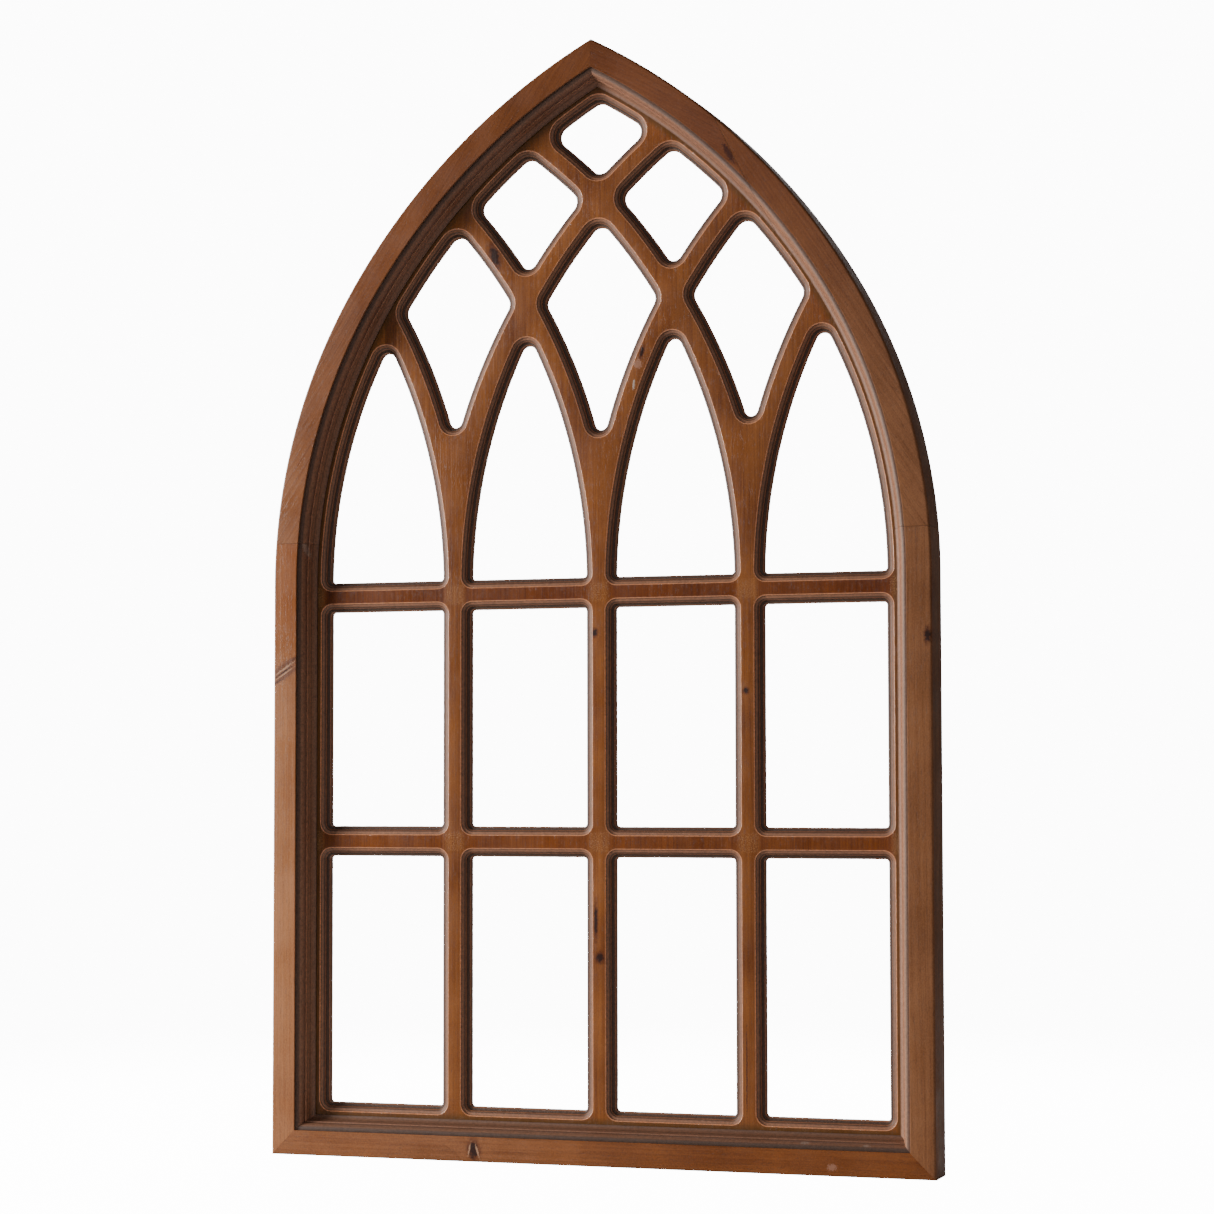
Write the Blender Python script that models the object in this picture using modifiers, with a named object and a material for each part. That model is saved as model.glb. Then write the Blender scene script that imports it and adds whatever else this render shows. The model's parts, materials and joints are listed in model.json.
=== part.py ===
"""Pointed-arch wooden window panel: a moulded frame round a board cut into interlaced tracery.

Metres, +Z up, the face towards -Y. The origin is the middle of the base.
The frame is jambs, a bottom rail and arch pieces, joined by hidden dowels and splines.
Five edge-glued boards sit in its rabbet and are screwed to its lip from behind.
Two D-ring hangers and two bumpers are on the back.
"""
import math

import bmesh
import bpy
from mathutils import Matrix, Vector

# Overall size
HALF_WIDTH = 0.305
FRAME_DEPTH = 0.0378
WALL_STANDOFF = 0.006
FRONT_Y = -(FRAME_DEPTH + WALL_STANDOFF) / 2
BACK_Y = FRONT_Y + FRAME_DEPTH
GAP = 0.0003

# The arch: two tangent arcs a side, a tighter one from the springing and a flatter one to the apex
SPRING_Z = 0.514
LOW_RADIUS = 0.505
HIGH_RADIUS = 0.584
BREAK_ANGLE = math.radians(30.5)
APEX_SWEEP = math.radians(66)
LOW_STEPS = 9
HIGH_STEPS = 10
OVERSHOOT = 0.05

# Frame joints
JAMB_TOP_Z = 0.5507
SCARF_POINT = (0.128, 0.886)
SCARF_ANGLE = math.radians(-63.4)
SCARF_LAST_STEP = 7
SCARF_CUT_LENGTH = 0.28
SCARF_CUT_WIDTH = 0.07

# Frame section, as distances in from the outer edge and back from the face
FACE_WIDTH = 0.0221
SIGHT_WIDTH = 0.0345
RABBET_WIDTH = 0.0240
LIP_DEPTH = 0.0206
ARRIS = 0.0015
STEP_DEPTH = 0.0022
OVOLO_INSET = 0.0232
OVOLO_DEPTH = 0.0070
COVE_TOP = 0.0102
COVE_DEPTH = 0.0088
CURVE_WIDTH = 0.0052

# Tracery board
BOARD_FRONT = 0.0209
BOARD_THICKNESS = 0.0128
BOARD_CLEARANCE = 0.0006
PITCH = 0.1365
BAR_HALF = 0.0135
RIM_WIDTH = 0.045
SILL_Z = 0.0455
BAR_HEIGHTS = (0.281, 0.502)
BAR_ARC_RADIUS = 0.500
BAR_ARC_Z = 0.510
THICK_ARC_SHIFT = (0.0071, 0.0095)
PANE_CORNER = 0.003
LANCET_TIP = 0.0075
ACUTE_TIP = 0.0066
MIDDLE_TIP = 0.008
BLUNT_TIP = 0.010
EDGE_WIDTH = 0.0074
EDGE_STEP = 0.0015
EDGE_DEPTH = 0.0065
CUT_MARGIN = 0.001

# Where the search for the corners of the lattice openings starts, lowest row first
LANCET_TOP_Z = 0.71
LATTICE_FOOT_Z = (0.650, 0.800, 0.890)
LATTICE_SIDE_Z = (0.762, 0.855, 0.916)
LATTICE_TOP_Z = (0.817, 0.884, 0.931)
LATTICE_HALF_WIDTH = (0.042, 0.037, 0.027)

# Finishes: colour, roughness and metallic value
FRAME_FINISH = ((0.30, 0.14, 0.070), 0.50, 0.0)
BOARD_FINISH = ((0.22, 0.085, 0.030), 0.50, 0.0)
PEG_FINISH = ((0.55, 0.38, 0.22), 0.70, 0.0)
STEEL_FINISH = ((0.55, 0.55, 0.53), 0.35, 1.0)
RUBBER_FINISH = ((0.03, 0.03, 0.03), 0.80, 0.0)

# Fixings
SCREW_INSET = 0.0275
SCREW_RADIUS = 0.0015
SCREW_HEAD_RADIUS = 0.0028
SCREW_HEAD_DEPTH = 0.0018
SCREW_RIM = 0.0003
SCREW_POINT = 0.003
HEAD_RECESS = 0.0005
HEAD_ACCESS = 0.004
PANEL_SCREW_HEIGHTS = (0.12, 0.40)
PANEL_SCREW_ANGLES = (math.radians(14), math.radians(45))
PANEL_SCREW_RAIL_X = 0.16
PANEL_SCREW_LENGTH = 0.019
STRAP_SCREW_LENGTH = 0.014
JOINERY_DEPTH = 0.029
DOWEL_INSET = 0.0132
DOWEL_RADIUS = 0.004
DOWEL_LENGTH = 0.040
APEX_DOWEL_RADIUS = 0.003
APEX_DOWEL_LENGTH = 0.024
APEX_DOWEL_Z = 0.9755
SPLINE_SIZE = (0.014, 0.012, 0.004)
SPLINE_INSET = 0.0122

# Hangers and bumpers
HANGER_X = 0.2930
HINGE_Z = 0.506
HINGE_STANDOFF = 0.0034
STRAP_WIDTH = 0.013
STRAP_THICKNESS = 0.0012
STRAP_BOTTOM_Z = 0.458
STRAP_SCREW_Z = (0.466, 0.482)
BARREL_RADIUS = 0.00245
BARREL_LENGTH = 0.010
BORE_RADIUS = 0.00145
WIRE_RADIUS = 0.0011
RING_HALF_WIDTH = 0.0080
RING_DROP = 0.0180
RING_CORNER = 0.002
BUMPER_X = 0.270
BUMPER_Z = 0.012
BUMPER_RADIUS = 0.006
BUMPER_ROUNDING = 0.001


# ---------------------------------------------------------------- scene helpers

def clear_scene():
    for old in list(bpy.data.objects):
        bpy.data.objects.remove(old)


def new_collection(name):
    collection = bpy.data.collections.new(name)
    bpy.context.scene.collection.children.link(collection)
    return collection


def make_material(name, finish):
    colour, roughness, metallic = finish
    material = bpy.data.materials.new(name)
    material.use_nodes = True
    shader = material.node_tree.nodes["Principled BSDF"]
    shader.inputs["Base Color"].default_value = (*colour, 1.0)
    shader.inputs["Roughness"].default_value = roughness
    shader.inputs["Metallic"].default_value = metallic
    return material


def add_object(name, data, collection, finish=None):
    """Put a mesh or curve in a collection: a part has a finish, and a cutter has none."""
    item = bpy.data.objects.new(name, data)
    collection.objects.link(item)
    if finish:
        data.materials.append(make_material(name, finish))
    else:
        item.hide_render = True
        item.display_type = 'WIRE'
    return item


def mesh_from(shape, name):
    bmesh.ops.recalc_face_normals(shape, faces=shape.faces)
    mesh = bpy.data.meshes.new(name)
    shape.to_mesh(mesh)
    shape.free()
    return mesh


def cut_with_all(item, cutters):
    """Subtract every object of a collection."""
    cut = item.modifiers.new(cutters.name, 'BOOLEAN')
    cut.operation = 'DIFFERENCE'
    cut.solver = 'EXACT'
    cut.operand_type = 'COLLECTION'
    cut.collection = cutters


def combine(item, other, operation):
    """Join one other object to an item, or subtract it."""
    step = item.modifiers.new(other.name, 'BOOLEAN')
    step.operation = operation
    step.solver = 'EXACT'
    step.object = other


# ---------------------------------------------------------------- plan geometry, in X and Z

def low_centre():
    return (LOW_RADIUS - HALF_WIDTH, SPRING_Z)


def high_centre():
    x, z = low_centre()
    shift = HIGH_RADIUS - LOW_RADIUS
    return (x + shift * math.cos(BREAK_ANGLE), z - shift * math.sin(BREAK_ANGLE))


def arc_station(angle):
    """Point on the outer edge of the left arch and the inward direction there."""
    radius = LOW_RADIUS if angle <= BREAK_ANGLE else HIGH_RADIUS
    centre = low_centre() if angle <= BREAK_ANGLE else high_centre()
    inward = (math.cos(angle), -math.sin(angle))
    return (centre[0] - radius * inward[0], centre[1] - radius * inward[1], *inward)


def arch_angles():
    low = [BREAK_ANGLE * step / LOW_STEPS for step in range(1, LOW_STEPS + 1)]
    rise = APEX_SWEEP - BREAK_ANGLE
    high = [BREAK_ANGLE + rise * step / HIGH_STEPS for step in range(1, HIGH_STEPS + 1)]
    return low + high


def on_right(stations):
    return [(-x, z, -inward_x, inward_z) for x, z, inward_x, inward_z in stations]


def apex_point(inset):
    centre_x, centre_z = high_centre()
    return (0.0, centre_z + math.sqrt((HIGH_RADIUS - inset) ** 2 - centre_x ** 2))


def arch_outline(inset):
    """The whole frame outline moved in by inset, anticlockwise from the lower left corner."""
    left = [(inset - HALF_WIDTH, inset), (inset - HALF_WIDTH, SPRING_Z)]
    for angle in arch_angles():
        x, z, inward_x, inward_z = arc_station(angle)
        if x + inward_x * inset < 0:
            left.append((x + inward_x * inset, z + inward_z * inset))
    right = [(-x, z) for x, z in left]
    return right + [apex_point(inset)] + left[::-1]


def clip_outline(outline, side, limit):
    """Keep the part of a convex outline where side * x is at most side * limit."""
    kept = []
    for start, end in zip(outline, outline[1:] + outline[:1]):
        start_in = side * start[0] <= side * limit
        end_in = side * end[0] <= side * limit
        if start_in:
            kept.append(start)
        if start_in != end_in:
            share = (limit - start[0]) / (end[0] - start[0])
            kept.append((limit, start[1] + share * (end[1] - start[1])))
    return kept


# An edge of an opening is ("line", normal x, normal z, distance) or ("arc", centre x, centre z,
# radius, sign). The sign is +1 where the opening is inside the circle and -1 where it is outside.

def edge_distance(edge, point):
    """How far a point is inside the opening from this edge, and the inward direction."""
    if edge[0] == "line":
        return edge[1] * point[0] + edge[2] * point[1] - edge[3], (edge[1], edge[2])
    reach_x = point[0] - edge[1]
    reach_z = point[1] - edge[2]
    reach = math.hypot(reach_x, reach_z)
    inward = (-edge[4] * reach_x / reach, -edge[4] * reach_z / reach)
    return edge[4] * (edge[3] - reach), inward


def corner_centre(first, second, radius, guess):
    """Centre of the arc of this radius that touches both edges, by Newton's method."""
    x, z = guess
    for _ in range(30):
        first_reach, first_in = edge_distance(first, (x, z))
        second_reach, second_in = edge_distance(second, (x, z))
        cross = first_in[0] * second_in[1] - first_in[1] * second_in[0]
        first_miss = radius - first_reach
        second_miss = radius - second_reach
        x += (first_miss * second_in[1] - second_miss * first_in[1]) / cross
        z += (second_miss * first_in[0] - first_miss * second_in[0]) / cross
    return x, z


def turn_between(start, end):
    """The signed angle from one direction to another, under half a turn."""
    return math.remainder(end - start, 2 * math.pi)


def rounded_outline(edges, corners, corner_steps=3, edge_steps=6):
    """Points and outward directions round an opening whose edges meet in rounded corners.

    Each corner is (radius, guess) and lies between its edge and the next.
    """
    arcs = []
    for index, (radius, guess) in enumerate(corners):
        first = edges[index]
        second = edges[(index + 1) % len(edges)]
        centre = corner_centre(first, second, radius, guess)
        outward = []
        for edge in (first, second):
            inward = edge_distance(edge, centre)[1]
            outward.append(math.atan2(-inward[1], -inward[0]))
        arcs.append((centre, radius, outward))
    outline = []
    for index, (centre, radius, (start, end)) in enumerate(arcs):
        for step in range(corner_steps + 1):
            angle = start + turn_between(start, end) * step / corner_steps
            way = (math.cos(angle), math.sin(angle))
            outline.append((centre[0] + radius * way[0], centre[1] + radius * way[1], *way))
        edge = edges[(index + 1) % len(edges)]
        if edge[0] == "arc":
            outline.extend(points_on_arc(edge, outline[-1], arcs[(index + 1) % len(arcs)], edge_steps))
    return outline


def points_on_arc(edge, last, next_corner, steps):
    """Points strictly between two corners on an arc edge."""
    centre, radius, (start, _) = next_corner
    end_x = centre[0] + radius * math.cos(start)
    end_z = centre[1] + radius * math.sin(start)
    first_angle = math.atan2(last[1] - edge[2], last[0] - edge[1])
    turn = turn_between(first_angle, math.atan2(end_z - edge[2], end_x - edge[1]))
    points = []
    for step in range(1, steps):
        angle = first_angle + turn * step / steps
        way_x = math.cos(angle)
        way_z = math.sin(angle)
        point = (edge[1] + edge[3] * way_x, edge[2] + edge[3] * way_z)
        points.append((*point, edge[4] * way_x, edge[4] * way_z))
    return points


def bar_under(spring_x, lean, above_break):
    """Lower edge of the bar that springs at spring_x and leans right (+1) or left (-1).

    At the sides it is the rim of the board, which follows the frame's own two arcs.
    """
    if abs(spring_x) < 1.5 * PITCH:
        return ("arc", spring_x + lean * BAR_ARC_RADIUS, BAR_ARC_Z, BAR_ARC_RADIUS - BAR_HALF, 1)
    centre_x, centre_z = high_centre() if above_break else low_centre()
    radius = HIGH_RADIUS if above_break else LOW_RADIUS
    return ("arc", lean * centre_x, centre_z, radius - RIM_WIDTH, 1)


def bar_over(spring_x, lean, thickened=False):
    """Upper edge of the same bar. A thickened one stands off further toward its foot."""
    shift_x, shift_z = THICK_ARC_SHIFT if thickened else (0.0, 0.0)
    centre_x = spring_x + lean * (BAR_ARC_RADIUS - shift_x)
    return ("arc", centre_x, BAR_ARC_Z - shift_z, BAR_ARC_RADIUS + BAR_HALF, -1)


def lancet(column):
    middle = (column - 1.5) * PITCH
    base = BAR_HEIGHTS[1] + BAR_HALF
    edges = [
        ("line", 0.0, 1.0, base),
        bar_under(middle + PITCH / 2, -1, False),
        bar_under(middle - PITCH / 2, 1, False),
    ]
    corners = [
        (PANE_CORNER, (middle + PITCH / 2 - BAR_HALF - PANE_CORNER, base + PANE_CORNER)),
        (LANCET_TIP, (middle, LANCET_TOP_Z)),
        (PANE_CORNER, (middle - PITCH / 2 + BAR_HALF + PANE_CORNER, base + PANE_CORNER)),
    ]
    return rounded_outline(edges, corners)


def diamond(middle, level):
    """A lattice opening. Level 0 is the lowest row, and 2 is the single one under the apex."""
    below = level * PITCH / 2
    above = (level + 2) * PITCH / 2
    lower_tip = (ACUTE_TIP, MIDDLE_TIP, BLUNT_TIP)[level]
    side_z = LATTICE_SIDE_Z[level]
    half = LATTICE_HALF_WIDTH[level]
    edges = [
        bar_over(middle - below, 1, level == 0 and middle < 0),
        bar_under(middle + above, -1, True),
        bar_under(middle - above, 1, True),
        bar_over(middle + below, -1, level == 0 and middle > 0),
    ]
    corners = [
        (BLUNT_TIP, (middle + half, side_z)),
        (BLUNT_TIP, (middle, LATTICE_TOP_Z[level])),
        (BLUNT_TIP, (middle - half, side_z)),
        (lower_tip, (middle, LATTICE_FOOT_Z[level])),
    ]
    return rounded_outline(edges, corners)


def pane(column, row):
    left = (column - 2) * PITCH + BAR_HALF
    right = left + PITCH - 2 * BAR_HALF
    low = (SILL_Z, BAR_HEIGHTS[0] + BAR_HALF)[row]
    high = BAR_HEIGHTS[row] - BAR_HALF
    edges = [
        ("line", 0.0, 1.0, low),
        ("line", -1.0, 0.0, -right),
        ("line", 0.0, -1.0, -high),
        ("line", 1.0, 0.0, left),
    ]
    inset = PANE_CORNER
    corners = [
        (inset, (right - inset, low + inset)),
        (inset, (right - inset, high - inset)),
        (inset, (left + inset, high - inset)),
        (inset, (left + inset, low + inset)),
    ]
    return rounded_outline(edges, corners)


def all_openings():
    outlines = [pane(column, row) for row in (0, 1) for column in range(4)]
    outlines += [lancet(column) for column in range(4)]
    outlines += [diamond(place * PITCH, 0) for place in (-1, 0, 1)]
    outlines += [diamond(place * PITCH / 2, 1) for place in (-1, 1)]
    outlines.append(diamond(0.0, 2))
    return outlines


# ---------------------------------------------------------------- solids

def loft(rings):
    """A closed shape through rings of equal length, capped at both ends."""
    shape = bmesh.new()
    rows = [[shape.verts.new(point) for point in ring] for ring in rings]
    for row, next_row in zip(rows, rows[1:]):
        for index in range(len(row)):
            after = (index + 1) % len(row)
            shape.faces.new((row[index], row[after], next_row[after], next_row[index]))
    shape.faces.new(rows[0])
    shape.faces.new(rows[-1])
    return shape


def frame_profile():
    """The section of the frame: flat face, step, ovolo, ridge, cove, lip and rabbet."""
    ovolo = []
    cove = []
    for step in range(4):
        angle = math.radians(90 * step / 3)
        across = CURVE_WIDTH * math.sin(angle)
        ovolo.append((OVOLO_INSET + across, STEP_DEPTH + OVOLO_DEPTH * (1 - math.cos(angle))))
        across = CURVE_WIDTH * math.cos(angle)
        cove.append((SIGHT_WIDTH - across, COVE_TOP + COVE_DEPTH * math.sin(angle)))
    face = [(ARRIS, 0.0), (FACE_WIDTH, 0.0), (FACE_WIDTH, STEP_DEPTH)]
    back = [
        (SIGHT_WIDTH, LIP_DEPTH),
        (RABBET_WIDTH, LIP_DEPTH),
        (RABBET_WIDTH, FRAME_DEPTH),
        (0.0, FRAME_DEPTH),
        (0.0, ARRIS),
    ]
    return face + ovolo + cove + back


def sweep_frame(stations):
    rings = []
    for x, z, inward_x, inward_z in stations:
        ring = []
        for inset, depth in frame_profile():
            ring.append((x + inward_x * inset, FRONT_Y + depth, z + inward_z * inset))
        rings.append(ring)
    return loft(rings)


def trim(shape, point, away):
    """Cut off what lies beyond a plane at (x, z) and close the end."""
    geometry = list(shape.verts) + list(shape.edges) + list(shape.faces)
    bmesh.ops.bisect_plane(
        shape,
        geom=geometry,
        plane_co=(point[0], 0.0, point[1]),
        plane_no=(away[0], 0.0, away[1]),
        clear_outer=True,
    )
    rim = [edge for edge in shape.edges if edge.is_boundary]
    bmesh.ops.edgeloop_fill(shape, edges=rim)


def make_plate(name, outline, front, thickness, collection, finish):
    """A flat piece cut to an outline: a filled 2D curve, extruded both ways and made a mesh."""
    curve = bpy.data.curves.new(name + "_outline", 'CURVE')
    curve.dimensions = '2D'
    curve.fill_mode = 'BOTH'
    curve.extrude = thickness / 2
    spline = curve.splines.new('POLY')
    spline.points.add(len(outline) - 1)
    for point, (x, z) in zip(spline.points, outline):
        point.co = (x, z, 0.0, 1.0)
    spline.use_cyclic_u = True
    drawn = bpy.data.objects.new(name + "_outline", curve)
    drawn.rotation_euler = (math.radians(90), 0.0, 0.0)
    drawn.location = (0.0, front + thickness / 2, 0.0)
    collection.objects.link(drawn)
    bpy.context.view_layer.update()
    evaluated = drawn.evaluated_get(bpy.context.evaluated_depsgraph_get())
    mesh = bpy.data.meshes.new_from_object(evaluated)
    shape = bmesh.new()
    shape.from_mesh(mesh)
    bmesh.ops.remove_doubles(shape, verts=shape.verts, dist=0.00001)
    bmesh.ops.recalc_face_normals(shape, faces=shape.faces)
    shape.to_mesh(mesh)
    shape.free()
    mesh.name = name
    plate = add_object(name, mesh, collection, finish)
    plate.matrix_world = drawn.matrix_world.copy()
    bpy.data.objects.remove(drawn)
    return plate


def cylinder_mesh(name, radius, start, end, sides=12):
    """A cylinder between two points, from a primitive."""
    shape = bmesh.new()
    length = math.dist(start, end)
    bmesh.ops.create_cone(
        shape, cap_ends=True, segments=sides, radius1=radius, radius2=radius, depth=length
    )
    turn = (Vector(end) - Vector(start)).to_track_quat('Z', 'Y').to_matrix()
    bmesh.ops.rotate(shape, verts=shape.verts, cent=(0, 0, 0), matrix=turn)
    bmesh.ops.translate(shape, verts=shape.verts, vec=(Vector(start) + Vector(end)) / 2)
    return mesh_from(shape, name)


def box_mesh(name, size, centre, turn=0.0):
    """A box turned about the Y axis."""
    shape = bmesh.new()
    bmesh.ops.create_cube(shape, size=1.0)
    bmesh.ops.scale(shape, verts=shape.verts, vec=size)
    bmesh.ops.rotate(shape, verts=shape.verts, cent=(0, 0, 0), matrix=Matrix.Rotation(turn, 3, 'Y'))
    bmesh.ops.translate(shape, verts=shape.verts, vec=centre)
    return mesh_from(shape, name)


# ---------------------------------------------------------------- turned pieces

def add_turned(name, profile, place, collection, finish=None, sides=12):
    """A turned piece whose top points to +Y. The profile is (radius, height), top to bottom."""
    mesh = bpy.data.meshes.new(name)
    points = [(radius, 0.0, height) for radius, height in profile]
    lines = [(index, index + 1) for index in range(len(points) - 1)]
    mesh.from_pydata(points, lines, [])
    item = add_object(name, mesh, collection, finish)
    item.location = place
    item.rotation_euler = (math.radians(-90), 0.0, 0.0)
    turned = item.modifiers.new("turned", 'SCREW')
    turned.steps = sides
    turned.render_steps = sides
    turned.use_merge_vertices = True
    turned.merge_threshold = 0.00001
    return item


def add_screw(name, place, length, parts, joinery):
    """A countersunk wood screw and the hole that clears it."""
    x, y, z = place
    screw = [
        (0.0, 0.0),
        (SCREW_HEAD_RADIUS, 0.0),
        (SCREW_HEAD_RADIUS, -SCREW_RIM),
        (SCREW_RADIUS, -SCREW_HEAD_DEPTH),
        (SCREW_RADIUS, SCREW_POINT - length),
        (0.0, -length),
    ]
    hole = [
        (0.0, HEAD_ACCESS),
        (SCREW_HEAD_RADIUS + GAP, HEAD_ACCESS),
        (SCREW_HEAD_RADIUS + GAP, -HEAD_RECESS),
        (SCREW_RADIUS + GAP, -SCREW_HEAD_DEPTH - GAP),
        (SCREW_RADIUS + GAP, -length - GAP),
        (0.0, -length - GAP),
    ]
    add_turned(name, screw, (x, y, z), parts, STEEL_FINISH)
    add_turned(name + "_hole", hole, (x, y, z), joinery)


# ---------------------------------------------------------------- hidden joinery

def add_dowel(name, start, end, radius, parts, joinery):
    """A wooden peg with a hole a gap wider and longer."""
    add_object(name, cylinder_mesh(name, radius, start, end), parts, PEG_FINISH)
    along = (Vector(end) - Vector(start)).normalized() * GAP
    hole = cylinder_mesh(name + "_hole", radius + GAP, Vector(start) - along, Vector(end) + along)
    add_object(name + "_hole", hole, joinery)


def add_spline(name, side, parts, joinery):
    """A thin wooden tongue across the mitre of a lower corner."""
    centre = (side * (HALF_WIDTH - SPLINE_INSET), FRONT_Y + JOINERY_DEPTH, SPLINE_INSET)
    length, width, thickness = SPLINE_SIZE
    turn = side * math.radians(45)
    add_object(name, box_mesh(name, (length, thickness, width), centre, turn), parts, PEG_FINISH)
    room = 2 * GAP
    slot_size = (length + room, thickness + room, width + room)
    add_object(name + "_slot", box_mesh(name + "_slot", slot_size, centre, turn), joinery)


def make_joinery(parts, joinery):
    middle_y = FRONT_Y + JOINERY_DEPTH
    for side, label in ((-1, "left"), (1, "right")):
        x = side * (HALF_WIDTH - DOWEL_INSET)
        foot = (x, middle_y, JAMB_TOP_Z - DOWEL_LENGTH / 2)
        top = (x, middle_y, JAMB_TOP_Z + DOWEL_LENGTH / 2)
        add_dowel("arch_dowel_" + label, foot, top, DOWEL_RADIUS, parts, joinery)
        add_spline("corner_spline_" + label, side, parts, joinery)
    left = (-APEX_DOWEL_LENGTH / 2, middle_y, APEX_DOWEL_Z)
    right = (APEX_DOWEL_LENGTH / 2, middle_y, APEX_DOWEL_Z)
    add_dowel("apex_dowel", left, right, APEX_DOWEL_RADIUS, parts, joinery)


def make_panel_screws(parts, joinery):
    """Screws through the rim of the tracery boards into the lip of the frame."""
    places = [(HALF_WIDTH - SCREW_INSET, height) for height in PANEL_SCREW_HEIGHTS]
    for angle in PANEL_SCREW_ANGLES:
        x, z, inward_x, inward_z = arc_station(angle)
        places.append((-x - inward_x * SCREW_INSET, z + inward_z * SCREW_INSET))
    places.append((PANEL_SCREW_RAIL_X, SCREW_INSET))
    everywhere = [(-x, z) for x, z in places] + [(0.0, SCREW_INSET)] + places
    head_y = FRONT_Y + BOARD_FRONT + BOARD_THICKNESS
    for number, (x, z) in enumerate(everywhere, start=1):
        add_screw(f"panel_screw_{number:02d}", (x, head_y, z), PANEL_SCREW_LENGTH, parts, joinery)


# ---------------------------------------------------------------- the frame

def frame_piece(name, stations, ends, parts, joinery):
    """A length of frame moulding, trimmed at each (point, away) end and cut for its joints."""
    shape = sweep_frame(stations)
    bmesh.ops.recalc_face_normals(shape, faces=shape.faces)
    for point, away in ends:
        trim(shape, point, away)
    piece = add_object(name, mesh_from(shape, name), parts, FRAME_FINISH)
    cut_with_all(piece, joinery)
    return piece


def mitre_end(side, of_jamb):
    """The trimming plane of a lower corner, half a gap back from the mitre."""
    slant = math.sqrt(0.5)
    away = (-side * slant, -slant) if of_jamb else (side * slant, slant)
    point = (side * HALF_WIDTH - away[0] * GAP / 2, -away[1] * GAP / 2)
    return point, away


def scarf_cutter(name, toward_foot, cutters):
    """A block whose face is the long glue joint of the right arch, half a gap past it."""
    reach = SCARF_CUT_WIDTH / 2 - GAP / 2
    across = (-math.sin(SCARF_ANGLE), math.cos(SCARF_ANGLE))
    side = 1 if toward_foot else -1
    centre = (
        SCARF_POINT[0] + side * across[0] * reach,
        0.0,
        SCARF_POINT[1] + side * across[1] * reach,
    )
    size = (SCARF_CUT_LENGTH, 2 * FRAME_DEPTH, SCARF_CUT_WIDTH)
    return add_object(name, box_mesh(name, size, centre, -SCARF_ANGLE), cutters)


def make_frame(parts, joinery, cutters):
    low_end = [arc_station(BREAK_ANGLE * step / LOW_STEPS) for step in (1, 2)]
    jamb = [(-HALF_WIDTH, -OVERSHOOT, 1.0, 0.0), (-HALF_WIDTH, SPRING_Z, 1.0, 0.0)] + low_end
    arch = [(-HALF_WIDTH, SPRING_Z, 1.0, 0.0)] + [arc_station(angle) for angle in arch_angles()]
    rail_end = HALF_WIDTH + OVERSHOOT
    rail = [(-rail_end, 0.0, 0.0, 1.0), (rail_end, 0.0, 0.0, 1.0)]
    jamb_top = ((0.0, JAMB_TOP_Z - GAP / 2), (0.0, 1.0))
    arch_foot = ((0.0, JAMB_TOP_Z + GAP / 2), (0.0, -1.0))

    frame_piece("bottom_rail", rail, [mitre_end(-1, False), mitre_end(1, False)], parts, joinery)
    frame_piece("left_jamb", jamb, [mitre_end(-1, True), jamb_top], parts, joinery)
    frame_piece("right_jamb", on_right(jamb), [mitre_end(1, True), jamb_top], parts, joinery)

    left_apex = ((-GAP / 2, 0.0), (1.0, 0.0))
    right_apex = ((GAP / 2, 0.0), (-1.0, 0.0))
    frame_piece("left_arch", arch, [arch_foot, left_apex], parts, joinery)
    scarf_foot = LOW_STEPS + 1
    lower_stations = on_right(arch[:scarf_foot + SCARF_LAST_STEP])
    lower = frame_piece("right_arch_lower", lower_stations, [arch_foot], parts, joinery)
    combine(lower, scarf_cutter("scarf_above", False, cutters), 'DIFFERENCE')
    upper_stations = on_right(arch[scarf_foot:])
    upper = frame_piece("right_arch_upper", upper_stations, [right_apex], parts, joinery)
    combine(upper, scarf_cutter("scarf_below", True, cutters), 'DIFFERENCE')


# ---------------------------------------------------------------- the tracery

def opening_cutter(name, outline, openings):
    """A plug with the routed edge: wide at the face, a step, a slope, then a straight wall."""
    front = FRONT_Y + BOARD_FRONT
    levels = [
        (EDGE_WIDTH, -CUT_MARGIN),
        (EDGE_WIDTH, EDGE_STEP),
        (0.0, EDGE_DEPTH),
        (0.0, BOARD_THICKNESS + CUT_MARGIN),
    ]
    rings = []
    for spread, depth in levels:
        ring = []
        for x, z, out_x, out_z in outline:
            ring.append((x + out_x * spread, front + depth, z + out_z * spread))
        rings.append(ring)
    add_object(name, mesh_from(loft(rings), name), openings)


def make_tracery(parts, joinery, openings):
    """Five boards glued edge to edge along the middles of the columns."""
    for number, outline in enumerate(all_openings(), start=1):
        opening_cutter(f"opening_{number:02d}", outline, openings)
    whole = arch_outline(RABBET_WIDTH + BOARD_CLEARANCE)
    joints = [place * PITCH for place in (-1.5, -0.5, 0.5, 1.5)]
    for number in range(5):
        outline = whole
        if number > 0:
            outline = clip_outline(outline, -1, joints[number - 1] + GAP / 2)
        if number < 4:
            outline = clip_outline(outline, 1, joints[number] - GAP / 2)
        front = FRONT_Y + BOARD_FRONT
        name = f"tracery_board_{number + 1}"
        board = make_plate(name, outline, front, BOARD_THICKNESS, parts, BOARD_FINISH)
        cut_with_all(board, openings)
        cut_with_all(board, joinery)


# ---------------------------------------------------------------- hangers and bumpers

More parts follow.
